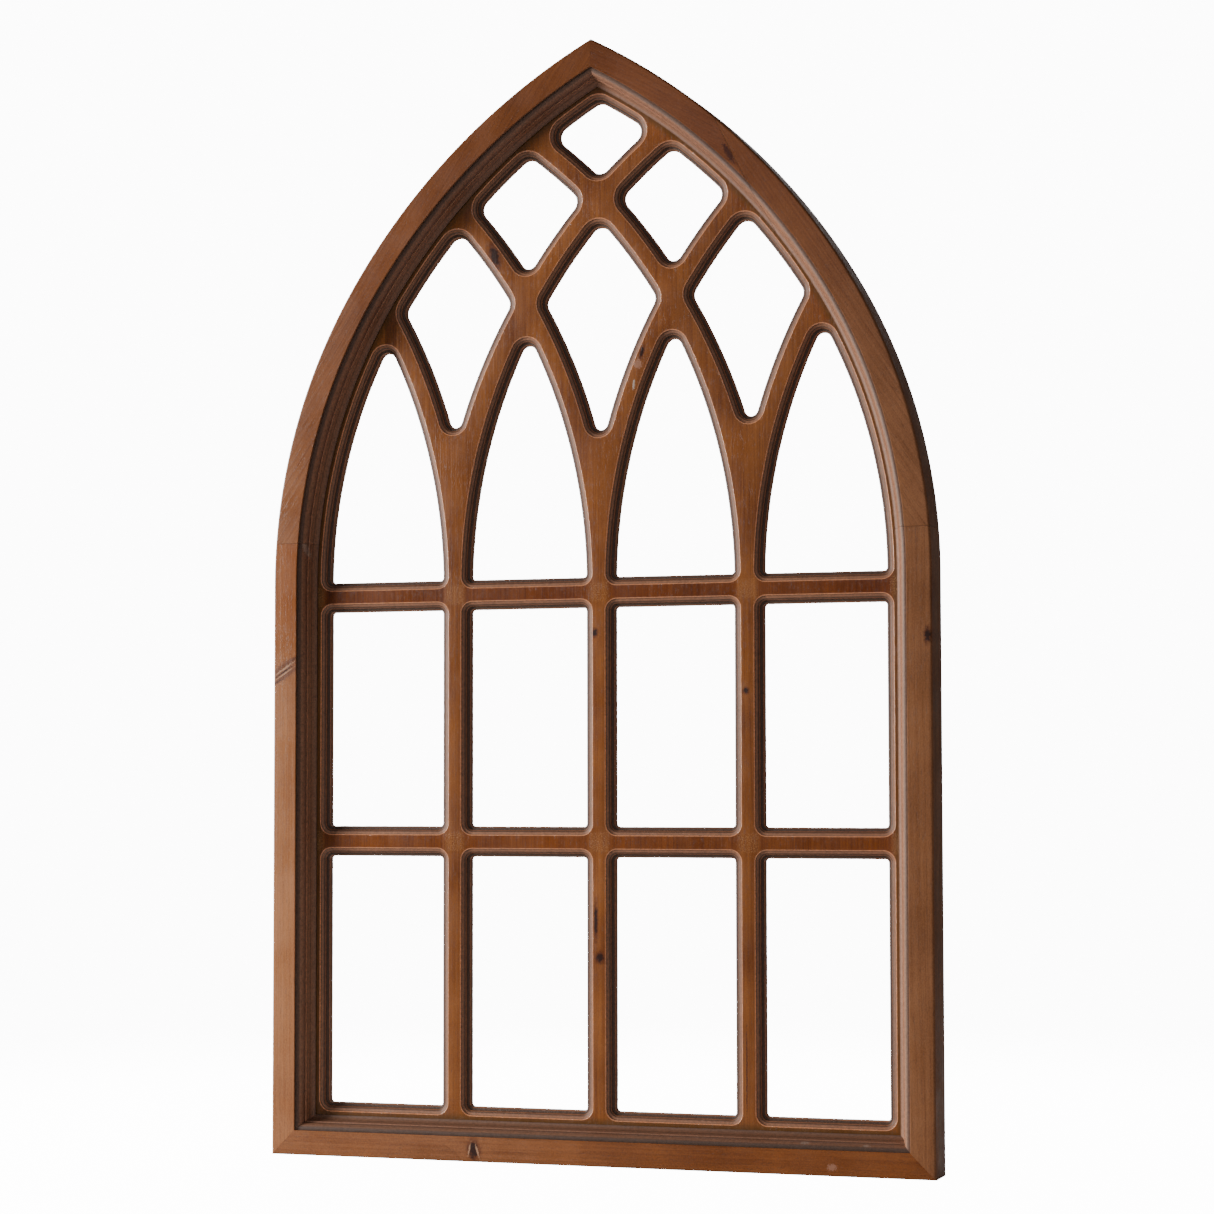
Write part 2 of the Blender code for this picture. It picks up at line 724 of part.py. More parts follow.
def ring_points():
    """The D of the ring: a straight bar on the hinge axis, two sides and a half circle below."""
    points = []
    for step in range(4):
        angle = math.radians(90 - 30 * step)
        across = RING_HALF_WIDTH - RING_CORNER * (1 - math.cos(angle))
        points.append((across, 0.0, -RING_CORNER * (1 - math.sin(angle))))
    bend_z = RING_HALF_WIDTH - RING_DROP
    for step in range(13):
        angle = math.radians(-15 * step)
        across = RING_HALF_WIDTH * math.cos(angle)
        points.append((across, 0.0, bend_z + RING_HALF_WIDTH * math.sin(angle)))
    for step in range(4):
        angle = math.radians(180 - 30 * step)
        across = RING_CORNER * (1 + math.cos(angle)) - RING_HALF_WIDTH
        points.append((across, 0.0, -RING_CORNER * (1 - math.sin(angle))))
    return points


def add_ring(name, place, parts):
    curve = bpy.data.curves.new(name, 'CURVE')
    curve.dimensions = '3D'
    curve.bevel_depth = WIRE_RADIUS
    curve.bevel_resolution = 2
    spline = curve.splines.new('POLY')
    points = ring_points()
    spline.points.add(len(points) - 1)
    for point, spot in zip(spline.points, points):
        point.co = (*spot, 1.0)
    spline.use_cyclic_u = True
    ring = add_object(name, curve, parts, STEEL_FINISH)
    ring.location = place


def add_strap(name, x, hinge_y, parts, joinery, cutters):
    """The plate screwed to the jamb, with the rolled barrel that holds the ring."""
    front = BACK_Y + GAP
    radius = STRAP_WIDTH / 2
    outline = [(x + radius, HINGE_Z), (x - radius, HINGE_Z)]
    for step in range(9):
        angle = math.radians(180 + 180 * step / 8)
        outline.append((x + radius * math.cos(angle), STRAP_BOTTOM_Z + radius + radius * math.sin(angle)))
    strap = make_plate(name, outline, front, STRAP_THICKNESS, parts, STEEL_FINISH)
    ends = [(x + side * BARREL_LENGTH / 2, hinge_y, HINGE_Z) for side in (-1, 1)]
    barrel = add_object(name + "_barrel", cylinder_mesh(name + "_barrel", BARREL_RADIUS, *ends, 16), cutters)
    combine(strap, barrel, 'UNION')
    reach = [(x + side * STRAP_WIDTH, hinge_y, HINGE_Z) for side in (-1, 1)]
    bore = add_object(name + "_bore", cylinder_mesh(name + "_bore", BORE_RADIUS, *reach, 16), cutters)
    combine(strap, bore, 'DIFFERENCE')
    cut_with_all(strap, joinery)


def make_hangers(parts, joinery, cutters):
    hinge_y = BACK_Y + HINGE_STANDOFF
    head_y = BACK_Y + GAP + STRAP_THICKNESS
    for side, label in ((-1, "left"), (1, "right")):
        x = side * HANGER_X
        for number, z in enumerate(STRAP_SCREW_Z, start=1):
            name = f"strap_screw_{label}_{number}"
            add_screw(name, (x, head_y, z), STRAP_SCREW_LENGTH, parts, joinery)
        add_strap("hanger_strap_" + label, x, hinge_y, parts, joinery, cutters)
        add_ring("hanger_ring_" + label, (x, hinge_y, HINGE_Z), parts)


def make_bumpers(parts):
    height = WALL_STANDOFF - GAP
    profile = [
        (0.0, height),
        (BUMPER_RADIUS - BUMPER_ROUNDING, height),
        (BUMPER_RADIUS, height - BUMPER_ROUNDING),
        (BUMPER_RADIUS, 0.0),
        (0.0, 0.0),
    ]
    for side, label in ((-1, "left"), (1, "right")):
        place = (side * BUMPER_X, BACK_Y + GAP, BUMPER_Z)
        add_turned("bumper_" + label, profile, place, parts, RUBBER_FINISH, 16)


def main():
    clear_scene()
    parts = new_collection("gothic_window_panel")
    joinery = new_collection("joinery_cutters")
    openings = new_collection("opening_cutters")
    cutters = new_collection("shape_cutters")
    make_joinery(parts, joinery)
    make_panel_screws(parts, joinery)
    make_hangers(parts, joinery, cutters)
    make_frame(parts, joinery, cutters)
    make_tracery(parts, joinery, openings)
    make_bumpers(parts)


main()
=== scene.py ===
"""Looks for the pointed-arch window panel: fine meshes, stained pine, hardware, light and camera.

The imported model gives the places. The frame and the tracery boards get finer meshes with the same
outline and section, and every piece gets its own wood or metal.
"""
import json
import math
from dataclasses import dataclass

import bmesh
import bpy
from mathutils import Matrix, Vector, noise


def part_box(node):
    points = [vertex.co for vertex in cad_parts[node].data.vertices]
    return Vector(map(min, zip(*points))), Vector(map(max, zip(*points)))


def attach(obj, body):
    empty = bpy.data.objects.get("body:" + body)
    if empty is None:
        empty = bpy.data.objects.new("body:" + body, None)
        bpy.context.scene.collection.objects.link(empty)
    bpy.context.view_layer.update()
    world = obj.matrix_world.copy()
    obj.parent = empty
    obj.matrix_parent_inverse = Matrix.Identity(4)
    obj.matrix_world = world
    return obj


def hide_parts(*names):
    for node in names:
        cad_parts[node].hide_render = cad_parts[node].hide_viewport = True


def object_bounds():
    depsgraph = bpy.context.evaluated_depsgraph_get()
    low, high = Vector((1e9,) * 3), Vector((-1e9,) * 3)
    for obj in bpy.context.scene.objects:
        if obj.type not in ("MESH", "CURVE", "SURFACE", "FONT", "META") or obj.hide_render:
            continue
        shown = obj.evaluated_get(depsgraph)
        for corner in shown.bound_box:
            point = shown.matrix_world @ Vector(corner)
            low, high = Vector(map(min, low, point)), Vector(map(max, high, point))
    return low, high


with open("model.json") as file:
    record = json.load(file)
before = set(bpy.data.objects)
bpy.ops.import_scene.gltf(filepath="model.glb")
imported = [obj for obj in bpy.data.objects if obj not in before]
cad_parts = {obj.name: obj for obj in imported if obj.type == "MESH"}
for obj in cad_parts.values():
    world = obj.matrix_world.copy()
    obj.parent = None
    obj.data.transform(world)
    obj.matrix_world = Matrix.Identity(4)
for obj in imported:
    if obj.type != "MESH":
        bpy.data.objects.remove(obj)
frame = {"nodes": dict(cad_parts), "record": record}

CAD_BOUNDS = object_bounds()

# Places and overall sizes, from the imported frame
RAIL_LOW, RAIL_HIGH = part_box("bottom_rail")
HALF_WIDTH = RAIL_HIGH[0]
FRONT_Y = RAIL_LOW[1]
BACK_Y = RAIL_HIGH[1]
FRAME_DEPTH = BACK_Y - FRONT_Y
BOARD_FRONT_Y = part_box("tracery_board_3")[0][1]
BOARD_BACK_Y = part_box("tracery_board_3")[1][1]
BOARD_THICKNESS = BOARD_BACK_Y - BOARD_FRONT_Y
HINGE = {joint["child"]: Vector(joint["pos_m"]) for joint in frame["record"]["behaviour"]["joints"]}

# The arch, as two tangent arcs a side
SPRING_Z = 0.514
LOW_RADIUS = 0.505
HIGH_RADIUS = 0.584
BREAK_ANGLE = math.radians(30.5)
APEX_SWEEP = math.radians(66)
LOW_STEPS = 44
HIGH_STEPS = 54
JAMB_TOP_Z = 0.5507
BREAK_Z = 0.757
SCARF_POINT = (0.128, 0.886)
SCARF_ANGLE = math.radians(-63.4)
SCARF_BLOCK = (0.28, 0.08, 0.07)
SCARF_REACH = (0.075, 0.2159)

# Frame section
FACE_WIDTH = 0.0221
SIGHT_WIDTH = 0.0345
RABBET_WIDTH = 0.0240
LIP_DEPTH = 0.0206
ARRIS = 0.0022
BACK_ARRIS = 0.0007
QUIRK_DEPTH = 0.0022
OVOLO_START = 0.0232
OVOLO_WIDTH = 0.0052
OVOLO_DEPTH = 0.0068
RIDGE_DEPTH = 0.0102
COVE_WIDTH = 0.0050
COVE_DEPTH = 0.0088
CURVE_STEPS = 9
ARRIS_STEPS = 6
FACE_BREAK = 0.0004
RABBET_BREAK = 0.0003
DRAFT = 0.0001
JAMB_ARC_STEPS = 8
OVERSHOOT = 0.05

# Tracery
BOARD_CLEARANCE = 0.0006
PITCH = 0.1365
BAR_HALF = 0.0135
RIM_WIDTH = 0.045
SILL_Z = 0.0455
BAR_HEIGHTS = (0.281, 0.502)
BAR_ARC_RADIUS = 0.500
BAR_ARC_Z = 0.510
THICK_ARC_SHIFT = (0.0071, 0.0095)
PANE_CORNER = 0.003
LANCET_TIP = 0.0075
ACUTE_TIP = 0.0066
MIDDLE_TIP = 0.008
BLUNT_TIP = 0.010

# Where the search for each rounded corner starts, by row for the lattice
LANCET_TOP_Z = 0.71
LATTICE_FOOT_Z = (0.650, 0.800, 0.890)
LATTICE_SIDE_Z = (0.762, 0.855, 0.916)
LATTICE_TOP_Z = (0.817, 0.884, 0.931)
LATTICE_HALF_WIDTH = (0.042, 0.037, 0.027)

# Routed edge
EDGE_WIDTH = 0.0074
EDGE_ARRIS = 0.0010
EDGE_SPACING = 0.0022
EDGE_STEPS = 5
EDGE_STEP_DEPTH = 0.0015
EDGE_OVOLO = (0.0066, -0.0036, 0.0017, 0.0028)  # start, width, top and depth
EDGE_QUIRK_SPREAD = 0.0029
EDGE_QUIRK_DEPTH = 0.0051
EDGE_BEAD = (0.0024, -0.0022, 0.0052, 0.0016)
WALL_LEAN = 0.0002
WALL_TOP = 0.0078
WALL_FULL_DEPTH = 0.0084
WALL_FOOT = 0.0012
WALL_BREAK = 0.0004
WALL_FLARE = 0.0006
WALL_UNEVEN = 0.7

# Looks of the joints and edges
BOARD_GAP = 0.00003
FRAME_GAP = 0.00025
MITRE_GAP = 0.00006
STATION_SPACING = 0.006
WOBBLE_SIZE = 0.00022
WOBBLE_SCALE = 260.0
FLAT_NORMAL = 0.99999
SHARP_ANGLE = math.radians(26)
SURFACE = 0
MACHINED = 1

# Hardware
HEAD_DEPTH = 0.0018
SHANK_RADIUS = 0.0015
THREAD_START = 0.0045
THREAD_TURNS = 9
THREAD_ROOT = 0.0011
THREAD_CREST = 0.00155
POINT_LENGTH = 0.0030
RECESS_SIZE = (0.0030, 0.0016, 0.0005)
RING_CORNER = 0.0024
BUMPER_ROUNDING = 0.0014
BUMPER_FOOT = 0.0002

# Stage and camera
FLOOR_RADIUS = 1.8
FLOOR_FADE = (1.7, 0.7)
FLOOR_GAP = 0.0002
FLOOR_GLOW = 14.0
ROOM_LIGHT = 0.10
ROOM_WHITE = 12.0
LIGHT_AIM = (0.0, 0.0, 0.5)
CAMERA_LENS = 90.97
CAMERA_PLACE = (0.8687, -2.5668, 0.3367)
CAMERA_TURN = 0.32371
CAMERA_TILT = 0.0560
CAMERA_ROLL = -0.0017


# ---------------------------------------------------------------- plan geometry, in X and Z

def low_centre():
    return (LOW_RADIUS - HALF_WIDTH, SPRING_Z)


def high_centre():
    x, z = low_centre()
    shift = HIGH_RADIUS - LOW_RADIUS
    return (x + shift * math.cos(BREAK_ANGLE), z - shift * math.sin(BREAK_ANGLE))


def arc_station(angle):
    """Point on the outer edge of the left arch and the inward direction there."""
    radius = LOW_RADIUS if angle <= BREAK_ANGLE else HIGH_RADIUS
    centre = low_centre() if angle <= BREAK_ANGLE else high_centre()
    inward = (math.cos(angle), -math.sin(angle))
    return (centre[0] - radius * inward[0], centre[1] - radius * inward[1], *inward)


def arch_angles():
    low = [BREAK_ANGLE * step / LOW_STEPS for step in range(1, LOW_STEPS + 1)]
    rise = APEX_SWEEP - BREAK_ANGLE
    return low + [BREAK_ANGLE + rise * step / HIGH_STEPS for step in range(1, HIGH_STEPS + 1)]


def on_right(stations):
    return [(-x, z, -inward_x, inward_z) for x, z, inward_x, inward_z in stations]


def arch_outline(inset):
    """The whole frame outline moved in by inset, anticlockwise from the lower right corner."""
    left = [(inset - HALF_WIDTH, inset), (inset - HALF_WIDTH, SPRING_Z)]
    for angle in arch_angles():
        x, z, inward_x, inward_z = arc_station(angle)
        if x + inward_x * inset < -0.0005:
            left.append((x + inward_x * inset, z + inward_z * inset))
    centre_x, centre_z = high_centre()
    apex = (0.0, centre_z + math.sqrt((HIGH_RADIUS - inset) ** 2 - centre_x ** 2))
    return [(-x, z) for x, z in left] + [apex] + left[::-1]


# An edge of an opening is ("line", normal x, normal z, distance) or ("arc", centre x, centre z,
# radius, sign). The sign is +1 where the opening is inside the circle and -1 where it is outside.

def edge_distance(edge, point):
    """How far a point is inside the opening from this edge, and the inward direction."""
    if edge[0] == "line":
        return edge[1] * point[0] + edge[2] * point[1] - edge[3], (edge[1], edge[2])
    reach_x = point[0] - edge[1]
    reach_z = point[1] - edge[2]
    reach = math.hypot(reach_x, reach_z)
    inward = (-edge[4] * reach_x / reach, -edge[4] * reach_z / reach)
    return edge[4] * (edge[3] - reach), inward


def corner_centre(first, second, radius, guess):
    """Centre of the arc of this radius that touches both edges, by Newton's method."""
    x, z = guess
    for _ in range(30):
        first_reach, first_in = edge_distance(first, (x, z))
        second_reach, second_in = edge_distance(second, (x, z))
        cross = first_in[0] * second_in[1] - first_in[1] * second_in[0]
        first_miss = radius - first_reach
        second_miss = radius - second_reach
        x += (first_miss * second_in[1] - second_miss * first_in[1]) / cross
        z += (second_miss * first_in[0] - first_miss * second_in[0]) / cross
    return x, z


def turn_between(start, end):
    """The signed angle from one direction to another, under half a turn."""
    return math.remainder(end - start, 2 * math.pi)


def rounded_outline(edges, corners, corner_steps=9, edge_steps=30):
    """Points and outward directions round an opening whose edges meet in rounded corners."""
    arcs = []
    for index, (radius, guess) in enumerate(corners):
        first = edges[index]
        second = edges[(index + 1) % len(edges)]
        centre = corner_centre(first, second, radius, guess)
        outward = []
        for edge in (first, second):
            inward = edge_distance(edge, centre)[1]
            outward.append(math.atan2(-inward[1], -inward[0]))
        arcs.append((centre, radius, outward))
    outline = []
    for index, (centre, radius, (start, end)) in enumerate(arcs):
        for step in range(corner_steps + 1):
            angle = start + turn_between(start, end) * step / corner_steps
            way = (math.cos(angle), math.sin(angle))
            outline.append((centre[0] + radius * way[0], centre[1] + radius * way[1], *way))
        edge = edges[(index + 1) % len(edges)]
        if edge[0] == "arc":
            next_corner = arcs[(index + 1) % len(arcs)]
            outline.extend(points_on_arc(edge, outline[-1], next_corner, edge_steps))
    return outline


def points_on_arc(edge, last, next_corner, steps):
    """Points strictly between two corners on an arc edge."""
    centre, radius, (start, _) = next_corner
    end_x = centre[0] + radius * math.cos(start)
    end_z = centre[1] + radius * math.sin(start)
    first_angle = math.atan2(last[1] - edge[2], last[0] - edge[1])
    turn = turn_between(first_angle, math.atan2(end_z - edge[2], end_x - edge[1]))
    points = []
    for step in range(1, steps):
        angle = first_angle + turn * step / steps
        way_x = math.cos(angle)
        way_z = math.sin(angle)
        point = (edge[1] + edge[3] * way_x, edge[2] + edge[3] * way_z)
        points.append((*point, edge[4] * way_x, edge[4] * way_z))
    return points


def bar_under(spring_x, lean, above_break):
    """Lower edge of the bar that springs at spring_x and leans right (+1) or left (-1)."""
    if abs(spring_x) < 1.5 * PITCH:
        return ("arc", spring_x + lean * BAR_ARC_RADIUS, BAR_ARC_Z, BAR_ARC_RADIUS - BAR_HALF, 1)
    centre_x, centre_z = high_centre() if above_break else low_centre()
    radius = HIGH_RADIUS if above_break else LOW_RADIUS
    return ("arc", lean * centre_x, centre_z, radius - RIM_WIDTH, 1)


def bar_over(spring_x, lean, thickened=False):
    """Upper edge of the same bar. A thickened one stands off further toward its foot."""
    shift_x, shift_z = THICK_ARC_SHIFT if thickened else (0.0, 0.0)
    centre_x = spring_x + lean * (BAR_ARC_RADIUS - shift_x)
    return ("arc", centre_x, BAR_ARC_Z - shift_z, BAR_ARC_RADIUS + BAR_HALF, -1)


def lancet(column):
    middle = (column - 1.5) * PITCH
    base = BAR_HEIGHTS[1] + BAR_HALF
    inset = PANE_CORNER
    edges = [
        ("line", 0.0, 1.0, base),
        bar_under(middle + PITCH / 2, -1, False),
        bar_under(middle - PITCH / 2, 1, False),
    ]
    corners = [
        (inset, (middle + PITCH / 2 - BAR_HALF - inset, base + inset)),
        (LANCET_TIP, (middle, LANCET_TOP_Z)),
        (inset, (middle - PITCH / 2 + BAR_HALF + inset, base + inset)),
    ]
    return rounded_outline(edges, corners)


def diamond(middle, level):
    """A lattice opening. Level 0 is the lowest row, and 2 is the single one under the apex."""
    below = level * PITCH / 2
    above = (level + 2) * PITCH / 2
    lower_tip = (ACUTE_TIP, MIDDLE_TIP, BLUNT_TIP)[level]
    half = LATTICE_HALF_WIDTH[level]
    edges = [
        bar_over(middle - below, 1, level == 0 and middle < 0),
        bar_under(middle + above, -1, True),
        bar_under(middle - above, 1, True),
        bar_over(middle + below, -1, level == 0 and middle > 0),
    ]
    corners = [
        (BLUNT_TIP, (middle + half, LATTICE_SIDE_Z[level])),
        (BLUNT_TIP, (middle, LATTICE_TOP_Z[level])),
        (BLUNT_TIP, (middle - half, LATTICE_SIDE_Z[level])),
        (lower_tip, (middle, LATTICE_FOOT_Z[level])),
    ]
    return rounded_outline(edges, corners)


def pane(column, row):
    left = (column - 2) * PITCH + BAR_HALF
    right = left + PITCH - 2 * BAR_HALF
    low = (SILL_Z, BAR_HEIGHTS[0] + BAR_HALF)[row]
    high = BAR_HEIGHTS[row] - BAR_HALF
    edges = [
        ("line", 0.0, 1.0, low),
        ("line", -1.0, 0.0, -right),
        ("line", 0.0, -1.0, -high),
        ("line", 1.0, 0.0, left),
    ]
    inset = PANE_CORNER
    corners = [
        (inset, (right - inset, low + inset)),
        (inset, (right - inset, high - inset)),
        (inset, (left + inset, high - inset)),
        (inset, (left + inset, low + inset)),
    ]
    return rounded_outline(edges, corners)


def all_openings():
    outlines = [pane(column, row) for row in (0, 1) for column in range(4)]
    outlines += [lancet(column) for column in range(4)]
    outlines += [diamond(place * PITCH, 0) for place in (-1, 0, 1)]
    outlines += [diamond(place * PITCH / 2, 1) for place in (-1, 1)]
    outlines.append(diamond(0.0, 2))
    return outlines


def closely_spaced(outline, spacing):
    """The same outline with points added where two are further apart than the spacing."""
    dense = []
    for start, end in zip(outline, outline[1:] + outline[:1]):
        steps = max(1, math.ceil(math.dist(start[:2], end[:2]) / spacing))
        for step in range(steps):
            share = step / steps
            dense.append([a + (b - a) * share for a, b in zip(start, end)])
    return dense


# ---------------------------------------------------------------- meshes

def quarter_turn(steps):
    """Angles from 0 to 90 degrees."""
    return [math.radians(90 * step / steps) for step in range(steps + 1)]


def link(item):
    bpy.context.scene.collection.objects.link(item)


def wobble(x, y, z):
    """A small smooth unevenness, from -1 to 1."""
    return noise.noise(Vector((x, y, z)) * WOBBLE_SCALE)


def finish_mesh(shape, name):
    """Outward normals, smooth curves, flat faces and sharp arrises."""
    bmesh.ops.recalc_face_normals(shape, faces=shape.faces)
    for face in shape.faces:
        face.smooth = abs(face.normal.y) < FLAT_NORMAL
    mesh = bpy.data.meshes.new(name)
    shape.to_mesh(mesh)
    shape.free()
    mesh.set_sharp_from_angle(angle=SHARP_ANGLE)
    return mesh


def add_piece(name, mesh, materials, nodes, body="root"):
    """Link a finished piece, let it ride on its body and hide the CAD nodes it stands for."""
    piece = bpy.data.objects.new(name, mesh)
    link(piece)
    if not mesh.materials:
        for material in materials:
            mesh.materials.append(material)
    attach(piece, body)
    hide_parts(*nodes)
    return piece


def close_ends(shape):
    """Fill every open loop with one flat face."""
    rim = [edge for edge in shape.edges if edge.is_boundary]
    if rim:
        bmesh.ops.edgeloop_fill(shape, edges=rim)


def cut_beyond(shape, point, away, faces=None):
    """Cut off what lies beyond the plane at (x, z) with this (x, z) normal."""
    faces = faces if faces is not None else list(shape.faces)
    verts = {vert for face in faces for vert in face.verts}
    edges = {edge for face in faces for edge in face.edges}
    bmesh.ops.bisect_plane(
        shape,
        geom=list(verts) + list(edges) + faces,
        plane_co=(point[0], 0.0, point[1]),
        plane_no=(away[0], 0.0, away[1]),
        clear_outer=True,
    )


def cut_mesh(blank, cutter):
    """The mesh of one object less another, and both objects removed."""
    for item in (blank, cutter):
        link(item)
    cut = blank.modifiers.new("cut", 'BOOLEAN')
    cut.object = cutter
    cut.solver = 'EXACT'
    cut.use_self = True
    bpy.context.view_layer.update()
    evaluated = blank.evaluated_get(bpy.context.evaluated_depsgraph_get())
    mesh = bpy.data.meshes.new_from_object(evaluated)
    for item in (blank, cutter):
        bpy.data.objects.remove(item)
    mesh.set_sharp_from_angle(angle=SHARP_ANGLE)
    return mesh


# ---------------------------------------------------------------- the frame

def rounded(start, width, top, depth, steps, *rest):
    """A convex quarter round of a section, from its top down to its side."""
    points = []
    for angle in quarter_turn(steps):
        points.append((start + width * math.sin(angle), top + depth * (1 - math.cos(angle)), *rest))
    return points


def frame_profile():
    """Inset, depth, unevenness and material of each point round the section of the frame."""
    points = []
    for angle in quarter_turn(ARRIS_STEPS):
        points.append((ARRIS * (1 - math.cos(angle)), ARRIS * (1 - math.sin(angle)), 0.1, SURFACE))
    points.append((FACE_WIDTH - FACE_BREAK, 0.0, 0.2, SURFACE))
    points.append((FACE_WIDTH, FACE_BREAK, 0.6, MACHINED))
    points.append((FACE_WIDTH + DRAFT, QUIRK_DEPTH, 0.2, MACHINED))
    points += rounded(OVOLO_START, OVOLO_WIDTH, QUIRK_DEPTH, OVOLO_DEPTH, CURVE_STEPS, 0.15, MACHINED)
    points.append((OVOLO_START + OVOLO_WIDTH + DRAFT, RIDGE_DEPTH, 0.4, MACHINED))
    for angle in quarter_turn(CURVE_STEPS):
        inset = SIGHT_WIDTH - COVE_WIDTH * math.cos(angle)
        points.append((inset, RIDGE_DEPTH + COVE_DEPTH * math.sin(angle), 0.15, MACHINED))
    points.append((SIGHT_WIDTH, LIP_DEPTH, 0.2, MACHINED))
    points.append((RABBET_WIDTH, LIP_DEPTH, 0.0, SURFACE))
    points.append((RABBET_WIDTH, FRAME_DEPTH - RABBET_BREAK, 0.0, SURFACE))
    points.append((RABBET_WIDTH - RABBET_BREAK, FRAME_DEPTH, 0.3, SURFACE))
    points.append((BACK_ARRIS, FRAME_DEPTH, 0.1, SURFACE))
    points.append((0.0, FRAME_DEPTH - BACK_ARRIS, 0.1, SURFACE))
    return points


def sweep_frame(stations):
    """The section of the frame carried along the stations, with flat ends."""
    shape = bmesh.new()
    profile = frame_profile()
    rows = []
    for x, z, inward_x, inward_z in stations:
        row = []
        for inset, depth, uneven, _ in profile:
            swell = WOBBLE_SIZE * uneven * wobble(x, depth, z)
            reach = inset + max(swell, 0.0) if inset < ARRIS else inset + swell
            row.append(shape.verts.new((x + inward_x * reach, FRONT_Y + depth, z + inward_z * reach)))
        rows.append(row)
    for row, next_row in zip(rows, rows[1:]):
        for index in range(len(profile)):
            after = (index + 1) % len(profile)
            face = shape.faces.new((row[index], row[after], next_row[after], next_row[index]))
            face.material_index = min(profile[index][3], profile[after][3])
    shape.faces.new(rows[0])
    shape.faces.new(rows[-1])
    return shape


def straight_run(start, end, inward):
    """Stations along a straight length of frame."""
    steps = math.ceil(math.dist(start, end) / STATION_SPACING)
    run = []
    for step in range(steps + 1):
        share = step / steps
        place = [a + (b - a) * share for a, b in zip(start, end)]
        run.append((*place, *inward))
    return run


def frame_piece(name, stations, ends, materials):
    shape = sweep_frame(stations)
    for point, away in ends:
        cut_beyond(shape, point, away)
        close_ends(shape)
    add_piece(name + "_wood", finish_mesh(shape, name + "_wood"), materials[name], [name])


def scarfed_piece(name, stations, end, toward_foot, materials):
    """A piece of the right arch: its far end cut flat, and the other along the long glue joint."""
    shape = sweep_frame(stations)
    cut_beyond(shape, *end)
    close_ends(shape)
    whole = bpy.data.objects.new(name + "_blank", finish_mesh(shape, name + "_blank"))
    side = 1 if toward_foot else -1
    reach = side * (SCARF_BLOCK[2] / 2 - FRAME_GAP / 2)
    centre = (
        SCARF_POINT[0] - math.sin(SCARF_ANGLE) * reach,
        0.0,
        SCARF_POINT[1] + math.cos(SCARF_ANGLE) * reach,
    )
    block_shape = bmesh.new()
    bmesh.ops.create_cube(block_shape, size=1.0)
    turned = Matrix.Rotation(-SCARF_ANGLE, 4, 'Y') @ Matrix.Diagonal((*SCARF_BLOCK, 1.0))
    block_shape.transform(Matrix.Translation(centre) @ turned)
    block = bpy.data.objects.new(name + "_block", finish_mesh(block_shape, name + "_block"))
    mesh = cut_mesh(whole, block)
    add_piece(name + "_wood", mesh, materials[name], [name])


def make_frame(materials):
    half = FRAME_GAP / 2
    mitre_half = MITRE_GAP / 2
    slant = math.sqrt(0.5)
    spring = (-HALF_WIDTH, SPRING_Z)
    low_end = [arc_station(BREAK_ANGLE * step / LOW_STEPS) for step in range(1, JAMB_ARC_STEPS)]
    jamb = straight_run((-HALF_WIDTH, -OVERSHOOT), spring, (1.0, 0.0)) + low_end
    foot = straight_run((-HALF_WIDTH, SPRING_Z - STATION_SPACING), spring, (1.0, 0.0))
    arch = foot + [arc_station(angle) for angle in arch_angles()]
    rail_end = HALF_WIDTH + OVERSHOOT
    rail = straight_run((-rail_end, 0.0), (rail_end, 0.0), (0.0, 1.0))
    jamb_top = ((0.0, JAMB_TOP_Z - half), (0.0, 1.0))
    arch_foot = ((0.0, JAMB_TOP_Z + half), (0.0, -1.0))

    def mitre(side, of_jamb):
        turn = -1 if of_jamb else 1
        away = (side * turn * slant, turn * slant)
        return (side * HALF_WIDTH - away[0] * mitre_half, -away[1] * mitre_half), away

    frame_piece("bottom_rail", rail, [mitre(-1, False), mitre(1, False)], materials)
    frame_piece("left_jamb", jamb, [mitre(-1, True), jamb_top], materials)
    frame_piece("right_jamb", on_right(jamb), [mitre(1, True), jamb_top], materials)
    left_apex = ((-mitre_half, 0.0), (1.0, 0.0))
    right_apex = ((mitre_half, 0.0), (-1.0, 0.0))
    frame_piece("left_arch", arch, [arch_foot, left_apex], materials)
    right = on_right(arch)
    scarf_low = next(place for place, station in enumerate(right) if station[0] < SCARF_REACH[1])
    scarf_high = next(place for place, station in enumerate(right) if station[0] < SCARF_REACH[0])
    lower = right[:scarf_high]
    upper = right[scarf_low:]
    scarfed_piece("right_arch_lower", lower, arch_foot, False, materials)
    scarfed_piece("right_arch_upper", upper, right_apex, True, materials)


# ---------------------------------------------------------------- the tracery

def edge_profile():
    """Spread, depth and unevenness down a routed edge: arris, step, ovolo, quirk, bead, wall."""
    points = []
    for angle in quarter_turn(EDGE_STEPS):
        spread = EDGE_WIDTH + EDGE_ARRIS * (0.6 - math.sin(angle))
        points.append((spread, EDGE_ARRIS * (1 - math.cos(angle)), 0.0))
    points.append((EDGE_WIDTH - 0.4 * EDGE_ARRIS, EDGE_STEP_DEPTH, 0.1))
    points += rounded(*EDGE_OVOLO, EDGE_STEPS, 0.1)
    points.append((EDGE_QUIRK_SPREAD, EDGE_QUIRK_DEPTH, 0.2))
    points += rounded(*EDGE_BEAD, EDGE_STEPS, 0.2)
    points.append((WALL_LEAN, WALL_TOP, 0.5))
    points.append((0.0, WALL_FULL_DEPTH, WALL_UNEVEN))
    points.append((0.0, BOARD_THICKNESS - WALL_FOOT, WALL_UNEVEN))
    points.append((WALL_LEAN, BOARD_THICKNESS - WALL_BREAK, WALL_UNEVEN))
    points.append((WALL_FLARE, BOARD_THICKNESS, WALL_UNEVEN))
    return points


